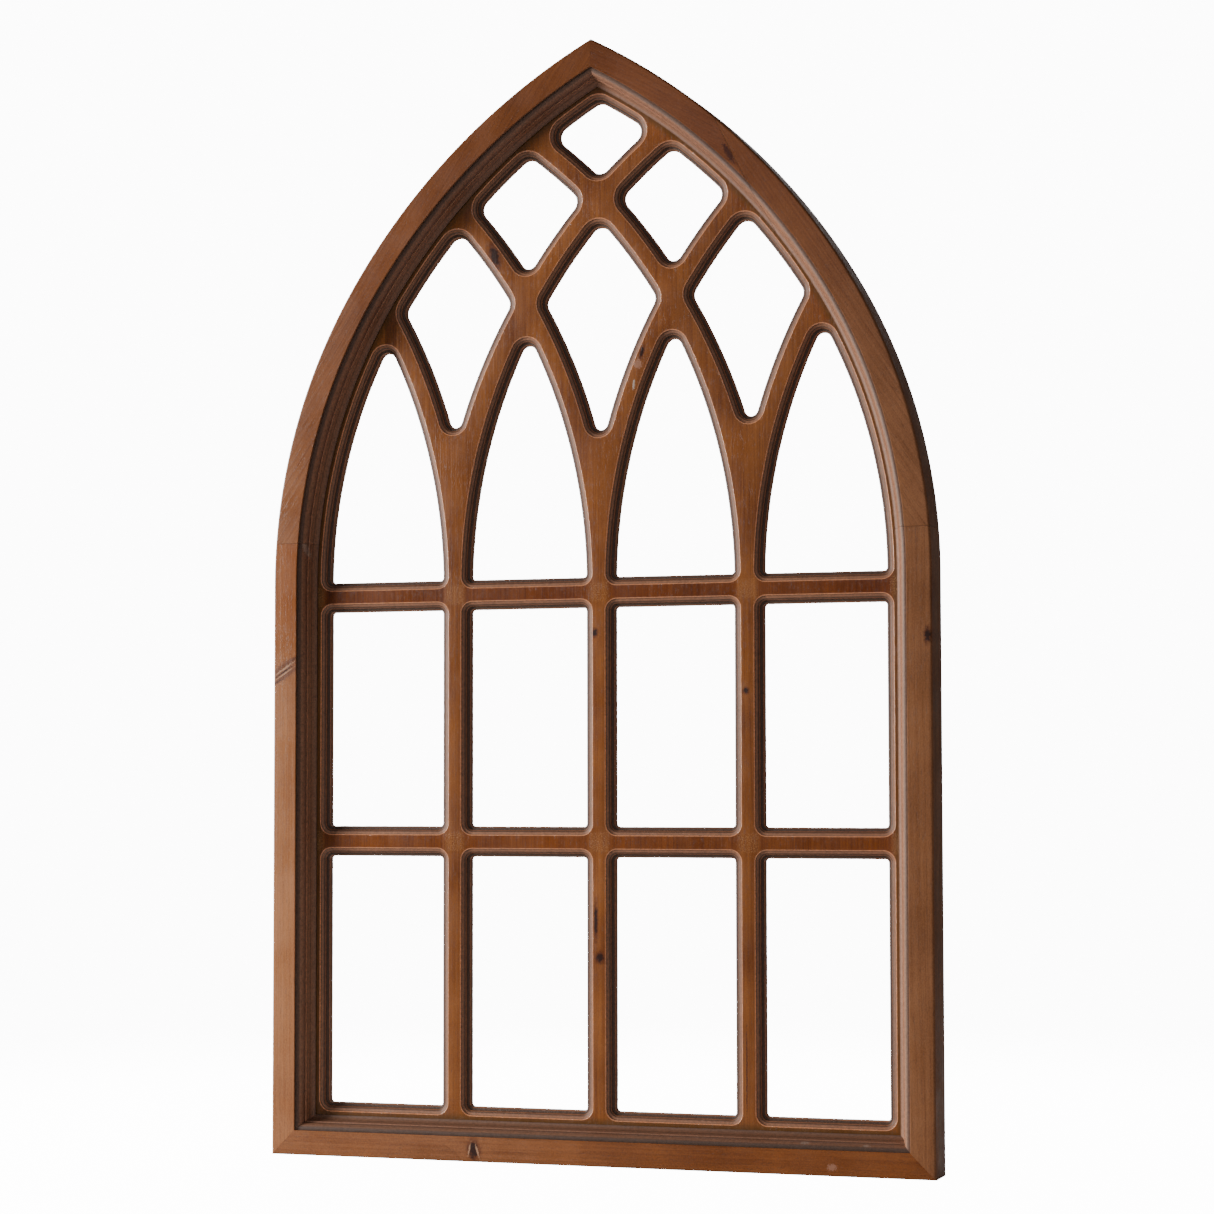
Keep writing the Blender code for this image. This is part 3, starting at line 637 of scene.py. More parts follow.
def wall_strip(shape, rows, kind):
    """Faces between rings of equal length."""
    for row, next_row in zip(rows, rows[1:]):
        for index in range(len(row)):
            after = (index + 1) % len(row)
            face = shape.faces.new((row[index], row[after], next_row[after], next_row[index]))
            face.material_index = kind


def whole_panel():
    """The tracery in one piece: routed openings, outer edge, and a filled face and back."""
    shape = bmesh.new()
    outer = arch_outline(RABBET_WIDTH + BOARD_CLEARANCE)
    rim = [[shape.verts.new((x, y, z)) for x, z in outer] for y in (BOARD_FRONT_Y, BOARD_BACK_Y)]
    wall_strip(shape, rim, MACHINED)
    for outline in all_openings():
        dense = closely_spaced(outline, EDGE_SPACING)
        rows = []
        for spread, depth, uneven in edge_profile():
            row = []
            for x, z, out_x, out_z in dense:
                reach = spread + WOBBLE_SIZE * uneven * wobble(x, 0.4 * depth, z)
                row.append(shape.verts.new((x + out_x * reach, BOARD_FRONT_Y + depth, z + out_z * reach)))
            rows.append(row)
        wall_strip(shape, rows, MACHINED)
    for y, facing in ((BOARD_FRONT_Y, -1.0), (BOARD_BACK_Y, 1.0)):
        edges = [e for e in shape.edges if e.is_boundary and abs(e.verts[0].co.y - y) < 1e-6]
        filled = bmesh.ops.triangle_fill(shape, edges=edges, use_beauty=True, normal=(0.0, facing, 0.0))
        for face in filled["geom"]:
            if isinstance(face, bmesh.types.BMFace):
                face.material_index = SURFACE
    return shape


def make_tracery(materials):
    panel = whole_panel()
    joints = [place * PITCH for place in (-1.5, -0.5, 0.5, 1.5)]
    for number in range(5):
        board = panel.copy()
        if number > 0:
            cut_beyond(board, (joints[number - 1] + BOARD_GAP / 2, 0.0), (-1.0, 0.0))
            close_ends(board)
        if number < 4:
            cut_beyond(board, (joints[number] - BOARD_GAP / 2, 0.0), (1.0, 0.0))
            close_ends(board)
        node = f"tracery_board_{number + 1}"
        mesh = finish_mesh(board, node + "_wood")
        add_piece(node + "_wood", mesh, materials[node], [node])
    panel.free()


# ---------------------------------------------------------------- colours

# Brightness by share of the depth, on the frame's moulding and on a routed edge: painted highlights on the
# arrises and beads, and painted shade in the grooves and quirks
BRIGHTEST_PAINTED_HIGHLIGHT = 2.6
FRAME_PAINTED_LIGHT_BANDS = [
    (0.00, 1.35), (0.05, 1.20), (0.09, 0.32), (0.13, 0.50), (0.17, 1.15), (0.32, 1.05), (0.36, 0.60),
    (0.40, 1.10), (0.455, 0.32), (0.50, 1.75), (0.56, 1.00), (0.70, 1.15), (0.76, 0.65), (0.80, 1.05),
    (0.90, 0.95), (0.96, 0.45), (1.00, 0.28),
]
EDGE_PAINTED_LIGHT_BANDS = [
    (0.00, 2.60), (0.055, 2.30), (0.085, 0.38), (0.115, 0.45), (0.133, 1.30), (0.155, 1.10), (0.175, 0.42),
    (0.205, 0.42), (0.22, 1.10), (0.33, 0.90), (0.365, 0.30), (0.43, 0.30), (0.46, 1.55), (0.57, 1.40),
    (0.62, 0.60), (0.67, 1.55), (0.80, 1.25), (0.84, 1.55), (0.93, 1.40), (0.97, 1.15),
]

# Growth rings, and how they swell round a knot
LATE_WOOD = [(0.0, 0.55), (0.06, 0.12), (0.45, 0.0), (0.80, 0.45), (0.97, 1.0)]
RING_DRIFT = 0.030
RING_RIPPLE = 0.0016
KNOT_REACH = 2.6
KNOT_SWELL = 1.6

# Stain and marks, with the painted shade beside the frame and the painted sheen where bars cross
FRAME_LIGHT = (0.44, 0.178, 0.072)
FRAME_DARK = (0.26, 0.090, 0.028)
BOARD_LIGHT = (0.37, 0.118, 0.022)
BOARD_DARK = (0.15, 0.036, 0.005)
ROUTED_TINT = (0.36, 0.175, 0.105)
MOULDING_TINT = (0.42, 0.215, 0.135)
CORNER_SHADE_AND_STAIN = (0.13, 0.052, 0.006)
CORNER_SHADE_REACH = (0.0005, 0.0075)
BAR_STAINS = ((0.80, 0.66, 0.30), (0.68, 0.52, 0.22))
FLECK = (0.60, 0.31, 0.14)
BOARD_SHADES = (1.0, 0.96, 1.05, 0.97, 1.02)
KNOT_HALO = (0.095, 0.021, 0.007)
KNOT_CORE = (0.026, 0.006, 0.004)
KNOT_RIDGE = (0.58, 0.32, 0.19)
KNOT_SHADE = (0.25, 0.092, 0.042)
PALE_CHIP = (0.62, 0.50, 0.42)
PINK_CHIP = (0.44, 0.21, 0.13)
GREY_SMUDGE = (0.30, 0.34, 0.36)
GLUE_LINE = (0.05, 0.010, 0.006)


# ---------------------------------------------------------------- node materials

class Finish:
    """A material and short calls for the nodes that make it."""

    def __init__(self, name):
        self.material = bpy.data.materials.new(name)
        self.material.use_nodes = True
        self.tree = self.material.node_tree
        self.shader = self.tree.nodes["Principled BSDF"]
        self.place = self.add("TexCoord").outputs["Object"]

    def feed(self, socket, value):
        if isinstance(value, bpy.types.NodeSocket):
            self.tree.links.new(value, socket)
        else:
            socket.default_value = value

    def add(self, kind, inputs=None, **settings):
        node = self.tree.nodes.new("ShaderNode" + kind)
        for key, value in settings.items():
            setattr(node, key, value)
        for socket, value in (inputs or {}).items():
            self.feed(node.inputs[socket], value)
        return node

    def math(self, operation, first, second=0.0, third=0.0):
        return self.add("Math", {0: first, 1: second, 2: third}, operation=operation).outputs[0]

    def vector(self, operation, first, second=(0.0, 0.0, 0.0)):
        return self.add("VectorMath", {0: first, 1: second}, operation=operation).outputs[0]

    def times(self, first, second):
        return self.math('MULTIPLY', first, second)

    def plus(self, first, second):
        return self.math('ADD', first, second)

    def minus(self, first, second):
        return self.math('SUBTRACT', first, second)

    def times_plus(self, first, second, third):
        return self.math('MULTIPLY_ADD', first, second, third)

    def unsigned(self, value):
        return self.math('ABSOLUTE', value)

    def square(self, value):
        return self.math('POWER', value, 2.0)

    def length(self, vector):
        return self.add("VectorMath", {0: vector}, operation='LENGTH').outputs["Value"]

    def axis(self, number):
        return self.add("SeparateXYZ", {0: self.place}).outputs[number]

    def noise(self, scale, detail=2.0, roughness=0.5, place=None):
        """Noise about 0.5. The scale may differ along each axis."""
        place = place or self.place
        if isinstance(scale, tuple):
            place = self.vector('MULTIPLY', place, scale)
            scale = 1.0
        inputs = {"Vector": place, "Scale": scale, "Detail": detail, "Roughness": roughness}
        return self.add("TexNoise", inputs).outputs["Fac"]

    def about_zero(self, noise, gain):
        """Noise about 0.5, moved to lie about 0 and multiplied."""
        return self.times(self.minus(noise, 0.5), gain)

    def sway(self, level, noise, gain):
        """A level moved up and down by noise about 0.5."""
        return self.times_plus(self.minus(noise, 0.5), gain, level)

    def between(self, value, low, high, to_low=0.0, to_high=1.0, kind='SMOOTHSTEP'):
        inputs = {"Value": value, 1: low, 2: high, 3: to_low, 4: to_high}
        return self.add("MapRange", inputs, interpolation_type=kind).outputs[0]

    def mix(self, share, first, second, blend='MIX'):
        node = self.add("Mix", data_type='RGBA', blend_type=blend)
        for socket, value in ((0, share), (6, first), (7, second)):
            if isinstance(value, tuple) and len(value) == 3:
                value = (*value, 1.0)
            self.feed(node.inputs[socket], value)
        return node.outputs[2]

    def lay(self, colour, paint, where, strength):
        """Paint over a colour, where a value from 0 to 1 says."""
        return self.mix(self.times(where, strength), colour, paint)

    def stain(self, colour, tint, where):
        """A colour multiplied by a tint, where a value from 0 to 1 says."""
        return self.mix(where, colour, self.mix(1.0, colour, tint, 'MULTIPLY'))

    def ramp(self, value, stops):
        """Grey levels or colours by value, with straight lines between the stops."""
        node = self.add("ValToRGB", {0: value})
        ramp = node.color_ramp
        while len(ramp.elements) < len(stops):
            ramp.elements.new(0.5)
        for element, (position, level) in zip(ramp.elements, stops):
            element.position = position
            colour = level if isinstance(level, tuple) else (level, level, level)
            element.color = (*colour, 1.0)
        return node.outputs[0]

    def spot(self, centre, radii, turn=0.0):
        """Distance from a point in X and Z, over the radii, in axes turned about Y."""
        inputs = {"Vector": self.place, "Location": (-centre[0], 0.0, -centre[1])}
        moved = self.add("Mapping", inputs).outputs[0]
        scale = {"Vector": moved, "Rotation": (0.0, turn, 0.0)}
        turned = self.add("Mapping", scale).outputs[0]
        return self.length(self.vector('MULTIPLY', turned, (1 / radii[0], 0.0, 1 / radii[1])))

    def set(self, **inputs):
        """Set or link sockets of the shader. An underscore stands for a space in a name."""
        for name, value in inputs.items():
            self.feed(self.shader.inputs[name.replace("_", " ")], value)

    def bump(self, height, strength, distance):
        node = self.add("Bump", {"Height": height, "Strength": strength, "Distance": distance})
        self.set(Normal=node.outputs[0])


@dataclass
class Wood:
    """What one length of stained pine looks like.

    A knot is (centre, radii, turn) in X and Z, a scratch has its paint after them, and a stain is
    (axis, start, end, tint).
    """

    light: tuple
    dark: tuple
    seed: float
    spacing: float
    lean: float = 0.0
    pith: tuple = (0.012, 0.07)
    ringed: float = 0.20
    stipple: float = 1.3
    # how bright the painted light and shade on this piece's moulding is, by which way the moulding faces
    # the light
    moulding: float = 1.0
    knots: list = ()
    scratches: list = ()
    stains: list = ()


def growth_rings(finish, wood, turned, grain):
    """How dark the late wood of each ring is, with the rings bulging round the knots."""
    drift = finish.noise((9.0, 9.0, 1.7), place=grain)
    ripple = finish.noise((60.0, 60.0, 9.0), place=grain)
    across, behind, _ = finish.add("SeparateXYZ", {0: turned}).outputs
    across = finish.times_plus(drift, RING_DRIFT, across)
    across = finish.plus(across, -wood.pith[0] - RING_DRIFT / 2)
    behind = finish.plus(behind, -wood.pith[1])
    reach = finish.plus(finish.square(across), finish.square(behind))
    reach = finish.times_plus(ripple, RING_RIPPLE, finish.math('SQRT', reach))
    for centre, radii, turn in wood.knots:
        near = finish.spot(centre, (radii[0] * KNOT_REACH, radii[1] * KNOT_REACH), turn)
        swell = finish.math('EXPONENT', finish.times(finish.square(near), -1.0))
        reach = finish.times_plus(swell, KNOT_SWELL * radii[0], reach)
    ring = finish.math('FRACT', finish.times(reach, 1 / wood.spacing))
    return finish.ramp(ring, LATE_WOOD)


def add_marks(finish, wood, colour):
    """Stained stretches, knots, chips and scratches over the wood's own colour."""
    for axis, low, high, tint in wood.stains:
        colour = finish.stain(colour, tint, finish.between(finish.axis(axis), low, high))
    for centre, radii, turn in wood.knots:
        rough = finish.about_zero(finish.noise(420.0), 1.2)
        near = finish.plus(finish.spot(centre, radii, turn), rough)
        colour = finish.lay(colour, KNOT_HALO, finish.between(near, 1.9, 0.8), 0.72)
        colour = finish.lay(colour, KNOT_CORE, finish.between(near, 1.05, 0.55), 0.92)
    for centre, radii, turn, paint in wood.scratches:
        rough = finish.about_zero(finish.noise(900.0), 1.6)
        near = finish.plus(finish.spot(centre, radii, turn), rough)
        colour = finish.lay(colour, paint, finish.between(near, 1.0, 0.55), 0.85)
    return colour


def wood_body(name, wood):
    """Growth rings, fibres, stain blotches and marks: the finish, its colour and its height."""
    finish = Finish(name)
    shift = (wood.seed * 0.37, 0.0, wood.seed * 0.91)
    lean = {"Vector": finish.place, "Rotation": (0.0, -wood.lean, 0.0)}
    turned = finish.add("Mapping", lean).outputs[0]
    grain = finish.vector('ADD', turned, shift)
    late = growth_rings(finish, wood, turned, grain)
    fibre = finish.noise((850.0, 850.0, 16.0), 3.0, 0.6, grain)
    streak = finish.noise((240.0, 240.0, 5.0), 2.0, 0.6, grain)
    pore = finish.between(finish.noise((1900.0, 1900.0, 120.0), place=grain), 0.60, 0.72)
    blotch = finish.noise(13.0, 3.0, 0.55, finish.vector('ADD', finish.place, shift))
    stipple = finish.noise((950.0, 950.0, 650.0), 2.0, 0.7)
    tone = finish.about_zero(fibre, 1.1)
    tone = finish.sway(tone, stipple, wood.stipple)
    tone = finish.sway(tone, streak, 0.8)
    tone = finish.sway(tone, blotch, 1.9)
    tone = finish.times_plus(late, wood.ringed, tone)
    tone = finish.plus(tone, 0.5 - 0.5 * wood.ringed)
    colour = finish.mix(finish.between(tone, 0.0, 1.0, kind='LINEAR'), wood.light, wood.dark)
    deep = tuple(channel * 0.35 for channel in wood.dark)
    colour = finish.lay(colour, deep, pore, 0.35)
    fleck = finish.between(finish.noise(1250.0, 1.0), 0.66, 0.76)
    colour = finish.lay(colour, FLECK, fleck, 0.22)
    colour = add_marks(finish, wood, colour)
    height = finish.times_plus(pore, -0.6, finish.times(fibre, 0.8))
    height = finish.times_plus(late, 0.35, height)
    return finish, colour, height


def inset_from_outline(finish):
    """How far a point is in from the outer edge of the whole frame."""
    across = finish.unsigned(finish.axis(0))
    height = finish.axis(2)
    from_arc = []
    for (centre_x, centre_z), radius in ((low_centre(), LOW_RADIUS), (high_centre(), HIGH_RADIUS)):
        reach_x = finish.plus(across, centre_x)
        reach_z = finish.plus(height, -centre_z)
        reach = finish.add("CombineXYZ", {0: reach_x, 1: reach_z}).outputs[0]
        from_arc.append(finish.minus(radius, finish.length(reach)))
    inset = finish.minus(HALF_WIDTH, across)
    for arc_z, arc in zip((SPRING_Z, BREAK_Z), from_arc):
        above = finish.math('GREATER_THAN', height, arc_z)
        inset = finish.times_plus(above, finish.minus(arc, inset), inset)
    return finish.math('MINIMUM', inset, height)


def shade_board(finish, colour):
    """Painted shade, with stain, in the corner beside the frame; the darker bars; and paler flecks where
    bars cross, painted sheen with dust.
    """
    # painted shade, with stain: the board darkens in the corner where it meets the frame's moulding
    inset = inset_from_outline(finish)
    corner_shade = finish.between(inset, SIGHT_WIDTH + CORNER_SHADE_REACH[1], SIGHT_WIDTH + CORNER_SHADE_REACH[0])
    colour = finish.lay(colour, CORNER_SHADE_AND_STAIN, corner_shade, 0.8)
    column = finish.math('FRACT', finish.times_plus(finish.axis(0), 1 / PITCH, 10.5))
    column = finish.unsigned(finish.about_zero(column, PITCH))
    off_mullion = finish.between(column, 0.006, 0.012)
    on_mullion = finish.minus(1.0, off_mullion)
    dust_and_sheen = finish.between(finish.noise(1000.0, 2.0, 0.7), 0.50, 0.62)
    for bar_z, tint in zip(BAR_HEIGHTS, BAR_STAINS):
        from_bar = finish.unsigned(finish.minus(finish.axis(2), bar_z))
        on_bar = finish.between(from_bar, 0.010, 0.007)
        colour = finish.stain(colour, tint, finish.times(on_bar, off_mullion))
        # painted sheen, with dust: paler flecks where the bars cross the mullions
        crossing = finish.times(on_bar, on_mullion)
        colour = finish.lay(colour, FLECK, finish.times(crossing, dust_and_sheen), 0.45)
    return colour


def face_finish(name, wood, in_frame):
    """The planed and varnished surface of a piece."""
    finish, colour, height = wood_body(name, wood)
    if in_frame:
        colour = shade_board(finish, colour)
    rough = finish.between(finish.noise(35.0, 3.0), 0.3, 0.7, 0.34, 0.50)
    finish.set(Base_Color=colour, Roughness=rough, Specular_IOR_Level=0.4)
    finish.bump(height, 0.40, 0.0003)
    return finish.material


def routed_finish(name, wood, tint, front_y, light_and_shade_bands, depth):
    """The machined edge: paler, pinker and fuzzier, with painted highlights and painted shade in bands by
    depth.
    """
    finish, colour, height = wood_body(name, wood)
    down = finish.times(finish.plus(finish.axis(1), -front_y), 1 / depth)
    down = finish.sway(down, finish.noise((90.0, 90.0, 90.0)), 0.012)
    # painted light and shade: brightness by depth, highlights on the arrises and shade in the grooves,
    # scaled for each piece
    level = finish.ramp(down, [(place, share / BRIGHTEST_PAINTED_HIGHLIGHT) for place, share in light_and_shade_bands])
    level = finish.vector('MULTIPLY', level, (wood.moulding * BRIGHTEST_PAINTED_HIGHLIGHT,) * 3)
    speck = finish.noise(1300.0, 2.0, 0.7)
    coarse = finish.noise(420.0, 2.0, 0.6)
    colour = finish.mix(0.62, colour, tint)
    grit = finish.sway(finish.sway(0.85, speck, 1.3), coarse, 0.9)
    grit = finish.add("CombineColor", {0: grit, 1: grit, 2: grit}).outputs[0]
    colour = finish.mix(0.75, colour, grit, 'MULTIPLY')
    colour = finish.mix(1.0, colour, level, 'MULTIPLY')
    rough = finish.between(down, 0.05, 0.12, 0.20, 0.50)
    finish.set(Base_Color=colour, Roughness=rough, Specular_IOR_Level=0.6)
    height = finish.times_plus(speck, 0.8, finish.times(height, 0.6))
    finish.bump(height, 0.45, 0.0003)
    return finish.material


def toned(colour, share, redder=1.0):
    return (colour[0] * share * redder, colour[1] * share, colour[2] * share / redder)


def frame_wood(light, dark, seed, spacing=0.006, redder=1.0, **looks):
    """A length of the frame, with its lightness as shares of the usual light and dark stain."""
    return Wood(toned(FRAME_LIGHT, light, redder), toned(FRAME_DARK, dark, redder), seed, spacing, **looks)


def board_wood(number, **looks):
    """A board of the tracery."""
    shade = BOARD_SHADES[number]
    pith = (0.02 * number - 0.03, 0.05)
    return Wood(toned(BOARD_LIGHT, shade), toned(BOARD_DARK, shade), 7.7 + 1.9 * number, 0.0046,
                pith=pith, ringed=0.10, stipple=0.75, **looks)


def frame_woods():
    chord = math.radians(34)
    rising = math.radians(33)
    # moulding: painted shade on the moulding of the left jamb and bottom rail, painted light on the right
    # jamb's
    return {
        "left_jamb": frame_wood(
            1.20, 1.35, 1.0, 0.005, moulding=0.78,
            knots=[
                ((-0.2925, 0.4405), (0.0130, 0.0017), rising),
                ((-0.2950, 0.4295), (0.0130, 0.0015), rising)],
            scratches=[
                ((-0.2935, 0.4355), (0.0200, 0.0090), rising, KNOT_SHADE),
                ((-0.2940, 0.4372), (0.0125, 0.0011), rising, KNOT_RIDGE),
                ((-0.2940, 0.4345), (0.0125, 0.0009), rising, KNOT_CORE),
                ((-0.2945, 0.4322), (0.0120, 0.0009), rising, KNOT_RIDGE),
                ((-0.2765, 0.548), (0.0018, 0.0110), 0.2, PALE_CHIP)],
            stains=[(2, 0.42, 0.50, (0.76, 0.60, 0.34))],
        ),
        "right_jamb": frame_wood(
            0.86, 0.86, 2.3, 0.005, moulding=1.30,
            knots=[((0.301, 0.458), (0.0026, 0.006), 0.0)],
        ),
        "bottom_rail": frame_wood(
            0.88, 0.80, 3.1, redder=1.06, lean=math.pi / 2, moulding=0.60,
            knots=[((-0.110, 0.011), (0.0048, 0.0080), 0.1)],
            scratches=[
                ((0.215, 0.008), (0.0050, 0.0035), 0.0, PINK_CHIP),
                ((0.190, 0.027), (0.0050, 0.0012), 0.0, PALE_CHIP),
                ((0.244, 0.0265), (0.0040, 0.0012), 0.0, PALE_CHIP),
                ((-0.1065, 0.010), (0.0011, 0.0075), 0.3, KNOT_RIDGE),
                ((-0.1140, 0.011), (0.0010, 0.0075), -0.2, KNOT_RIDGE)],
            stains=[(0, -0.15, 0.10, (0.78, 0.62, 0.34))],
        ),
        "left_arch": frame_wood(
            0.86, 0.84, 4.7, lean=chord, moulding=0.9,
            stains=[(2, 0.50, 0.53, (0.92, 0.80, 0.62)), (2, 0.55, 0.92, (0.72, 0.62, 0.50))],
        ),
        "right_arch_lower": frame_wood(
            0.86, 0.88, 5.9, lean=-chord, moulding=1.15,
            stains=[(2, 0.62, 0.88, (0.76, 0.62, 0.50))],
        ),
        "right_arch_upper": frame_wood(
            0.80, 0.82, 6.4, lean=-1.05,
            scratches=[((0.127, 0.882), (0.0030, 0.0120), 0.5, GLUE_LINE)],
            stains=[(2, 0.70, 0.90, (0.74, 0.58, 0.48))],
        ),
    }


def board_woods():
    return {
        "tracery_board_1": board_wood(0),
        "tracery_board_2": board_wood(1, knots=[((-0.098, 0.806), (0.0044, 0.0105), math.radians(10))]),
        "tracery_board_3": board_wood(
            2,
            knots=[
                ((-0.004, 0.466), (0.0026, 0.0032), 0.0),
                ((0.001, 0.180), (0.0036, 0.0042), 0.0),
                ((-0.003, 0.212), (0.0016, 0.014), 0.0),
                ((0.041, 0.714), (0.0016, 0.0055), -0.3)],
            scratches=[
                ((0.037, 0.703), (0.0050, 0.0052), 0.4, PINK_CHIP),
                ((0.033, 0.685), (0.0012, 0.0060), -0.1, PALE_CHIP),
                ((0.0605, 0.704), (0.0022, 0.0030), 0.0, GREY_SMUDGE)],
        ),
        "tracery_board_4": board_wood(
            3,
            knots=[((0.135, 0.413), (0.0022, 0.0026), 0.0)],
            scratches=[((0.1345, 0.085), (0.0007, 0.045), 0.0, GLUE_LINE)],
        ),
        "tracery_board_5": board_wood(4),
    }


def make_woods():
    """Each node's pair of materials: its surface and its machined edge."""
    frame_edge = (MOULDING_TINT, FRONT_Y, FRAME_PAINTED_LIGHT_BANDS, LIP_DEPTH)
    board_edge = (ROUTED_TINT, BOARD_FRONT_Y, EDGE_PAINTED_LIGHT_BANDS, BOARD_THICKNESS)
    pairs = {}
    for woods, edge, in_frame in ((frame_woods(), frame_edge, False), (board_woods(), board_edge, True)):
        for node, wood in woods.items():
            surface = face_finish(node + "_surface", wood, in_frame)
            pairs[node] = (surface, routed_finish(node + "_edge", wood, *edge))
    return pairs


def metal_finish(name, colour, roughness):
    """Zinc plate: fine crystals and faint rubbing."""
    finish = Finish(name)
    crystal = finish.add("TexVoronoi", {"Vector": finish.place, "Scale": 900.0}).outputs["Distance"]
    cloud = finish.noise(160.0, 3.0)
    dark = tuple(channel * 0.72 for channel in colour)
    rubbed = finish.between(cloud, 0.3, 0.7, roughness - 0.08, roughness + 0.1)
    finish.set(Base_Color=finish.mix(cloud, dark, colour), Metallic=1.0, Roughness=rubbed)
    finish.bump(crystal, 0.08, 0.0002)
    return finish.material


def speckled_finish(name, scale, dark, light, roughness, bump):
    """A dull material with a fine grain of two colours."""
    finish = Finish(name)
    grain = finish.noise(scale, 3.0)
    finish.set(Base_Color=finish.mix(grain, dark, light), Roughness=roughness)
    finish.bump(grain, bump, 0.0002)
    return finish.material


# ---------------------------------------------------------------- hardware

def turned_mesh(name, profile, sides=40):
    """A shape turned about Y: the profile is (radius, y) from one end of the axis to the other."""
    shape = bmesh.new()
    verts = [shape.verts.new((radius, y, 0.0)) for radius, y in profile]
    edges = [shape.edges.new(pair) for pair in zip(verts, verts[1:])]
    bmesh.ops.spin(
        shape,
        geom=verts + edges,
        cent=(0.0, 0.0, 0.0),
        axis=(0.0, 1.0, 0.0),
        angle=2 * math.pi,
        steps=sides,
        use_merge=True,
    )
    bmesh.ops.remove_doubles(shape, verts=shape.verts, dist=1e-6)
    return finish_mesh(shape, name)


def screw_mesh(length):
    """A wood screw along -Y from a raised head with a cross recess."""
    head = [(0.0, 0.00045), (0.0012, 0.00040), (0.0022, 0.00022), (0.0028, 0.0)]
    body = [(SHANK_RADIUS, -HEAD_DEPTH), (SHANK_RADIUS, -THREAD_START)]
    for turn in range(THREAD_TURNS):
        y = -THREAD_START - (length - THREAD_START - POINT_LENGTH) * turn / THREAD_TURNS
        body += [(THREAD_ROOT, y), (THREAD_CREST, y - 0.0005), (THREAD_ROOT, y - 0.0010)]
    body += [(0.0010, POINT_LENGTH - length), (0.0, -length)]
    mesh = turned_mesh("screw", head + body, 36)
    screw = bpy.data.objects.new("screw_blank", mesh)
    cross = bmesh.new()
    for turn in (0.0, math.pi / 2):
        made = bmesh.ops.create_cube(cross, size=1.0)["verts"]
        bmesh.ops.scale(cross, verts=made, vec=RECESS_SIZE)
        bmesh.ops.rotate(cross, verts=made, cent=(0, 0, 0), matrix=Matrix.Rotation(turn, 3, 'Y'))
    return cut_mesh(screw, bpy.data.objects.new("recess", finish_mesh(cross, "recess")))


def make_screws(steel):
    """Every screw at its CAD node's place, each with its recess turned differently."""
    for prefix in ("panel_screw", "strap_screw"):
        names = sorted(name for name in frame["nodes"] if name.startswith(prefix))
        low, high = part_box(names[0])
        blank = screw_mesh(high[1] - low[1])
        blank.materials.append(steel)
        for number, name in enumerate(names):
            low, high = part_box(name)
            mesh = blank.copy()
            turn = Matrix.Rotation(0.9 * number + 0.3, 4, 'Y')
            place = Matrix.Translation(((low[0] + high[0]) / 2, high[1], (low[2] + high[2]) / 2))
            mesh.transform(place @ turn)
            add_piece(name + "_cut", mesh, [steel], [name])


def arc_points(centre, radius, start, end, steps):
    """Points along an arc, with its angles in degrees."""
    angles = [math.radians(start + (end - start) * step / steps) for step in range(steps + 1)]
    return [(centre[0] + radius * math.cos(a), centre[1] + radius * math.sin(a)) for a in angles]


def ring_path(hinge, half_width, drop):
    """The D of a ring's wire: a corner at each end of the hinge and a half circle below."""
    corner = RING_CORNER
    points = arc_points((half_width - corner, -corner), corner, 90, 0, 6)
    points += arc_points((0.0, half_width - drop), half_width, 0, -180, 32)
    points += arc_points((corner - half_width, -corner), corner, 180, 90, 6)
    return [(hinge.x + x, hinge.y, hinge.z + z) for x, z in points]


def make_rings(steel):
    for side in ("left", "right"):
        node = "hanger_ring_" + side
        low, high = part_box(node)
        hinge = HINGE["ring_" + side]
        wire = (high[1] - low[1]) / 2
        curve = bpy.data.curves.new(node, 'CURVE')
        curve.dimensions = '3D'
        curve.bevel_depth = wire
        curve.bevel_resolution = 6
        spline = curve.splines.new('POLY')
        points = ring_path(hinge, (high[0] - low[0]) / 2 - wire, hinge.z - low[2] - wire)
        spline.points.add(len(points) - 1)
        for point, spot in zip(spline.points, points):
            point.co = (*spot, 1.0)
        spline.use_cyclic_u = True
        drawn = bpy.data.objects.new(node + "_line", curve)
        link(drawn)
        bpy.context.view_layer.update()
        evaluated = drawn.evaluated_get(bpy.context.evaluated_depsgraph_get())
        mesh = bpy.data.meshes.new_from_object(evaluated)
        bpy.data.objects.remove(drawn)
        mesh.shade_smooth()
        mesh.materials.clear()
        add_piece(node + "_wire", mesh, [steel], [node], "ring_" + side)


def make_bumpers(rubber):
    for side in ("left", "right"):
        node = "bumper_" + side
        low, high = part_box(node)
        radius = (high[0] - low[0]) / 2
        height = high[1] - low[1]
        rim = radius - BUMPER_ROUNDING
        top = height - BUMPER_ROUNDING
        profile = [(0.0, height), (radius * 0.55, height)]
        for angle in quarter_turn(ARRIS_STEPS):
            across = rim + BUMPER_ROUNDING * math.sin(angle)
            profile.append((across, top + BUMPER_ROUNDING * math.cos(angle)))
        profile += [(radius, BUMPER_FOOT), (radius - BUMPER_FOOT, 0.0), (0.0, 0.0)]
        mesh = turned_mesh(node + "_soft", profile, 48)
        place = ((low[0] + high[0]) / 2, low[1], (low[2] + high[2]) / 2)
        mesh.transform(Matrix.Translation(place))
        add_piece(node + "_soft", mesh, [rubber], [node])


def repaint(prefix, material):
    """Give the CAD nodes that stay their material."""
    for name, node in frame["nodes"].items():
        if name.startswith(prefix):
            node.data.materials.clear()
            node.data.materials.append(material)


# ---------------------------------------------------------------- light, floor and camera

def add_light(name, place, size, power, colour=(1.0, 1.0, 1.0)):
    """A soft rectangular light turned toward the middle of the panel."""
    data = bpy.data.lights.new(name, 'AREA')
    data.shape = 'RECTANGLE'
    data.size = size[0]
    data.size_y = size[1]
    data.energy = power
    data.color = colour
    light = bpy.data.objects.new(name, data)
    light.location = place
    toward = Vector(LIGHT_AIM) - Vector(place)
    light.rotation_euler = toward.to_track_quat('-Z', 'Y').to_euler()
    link(light)


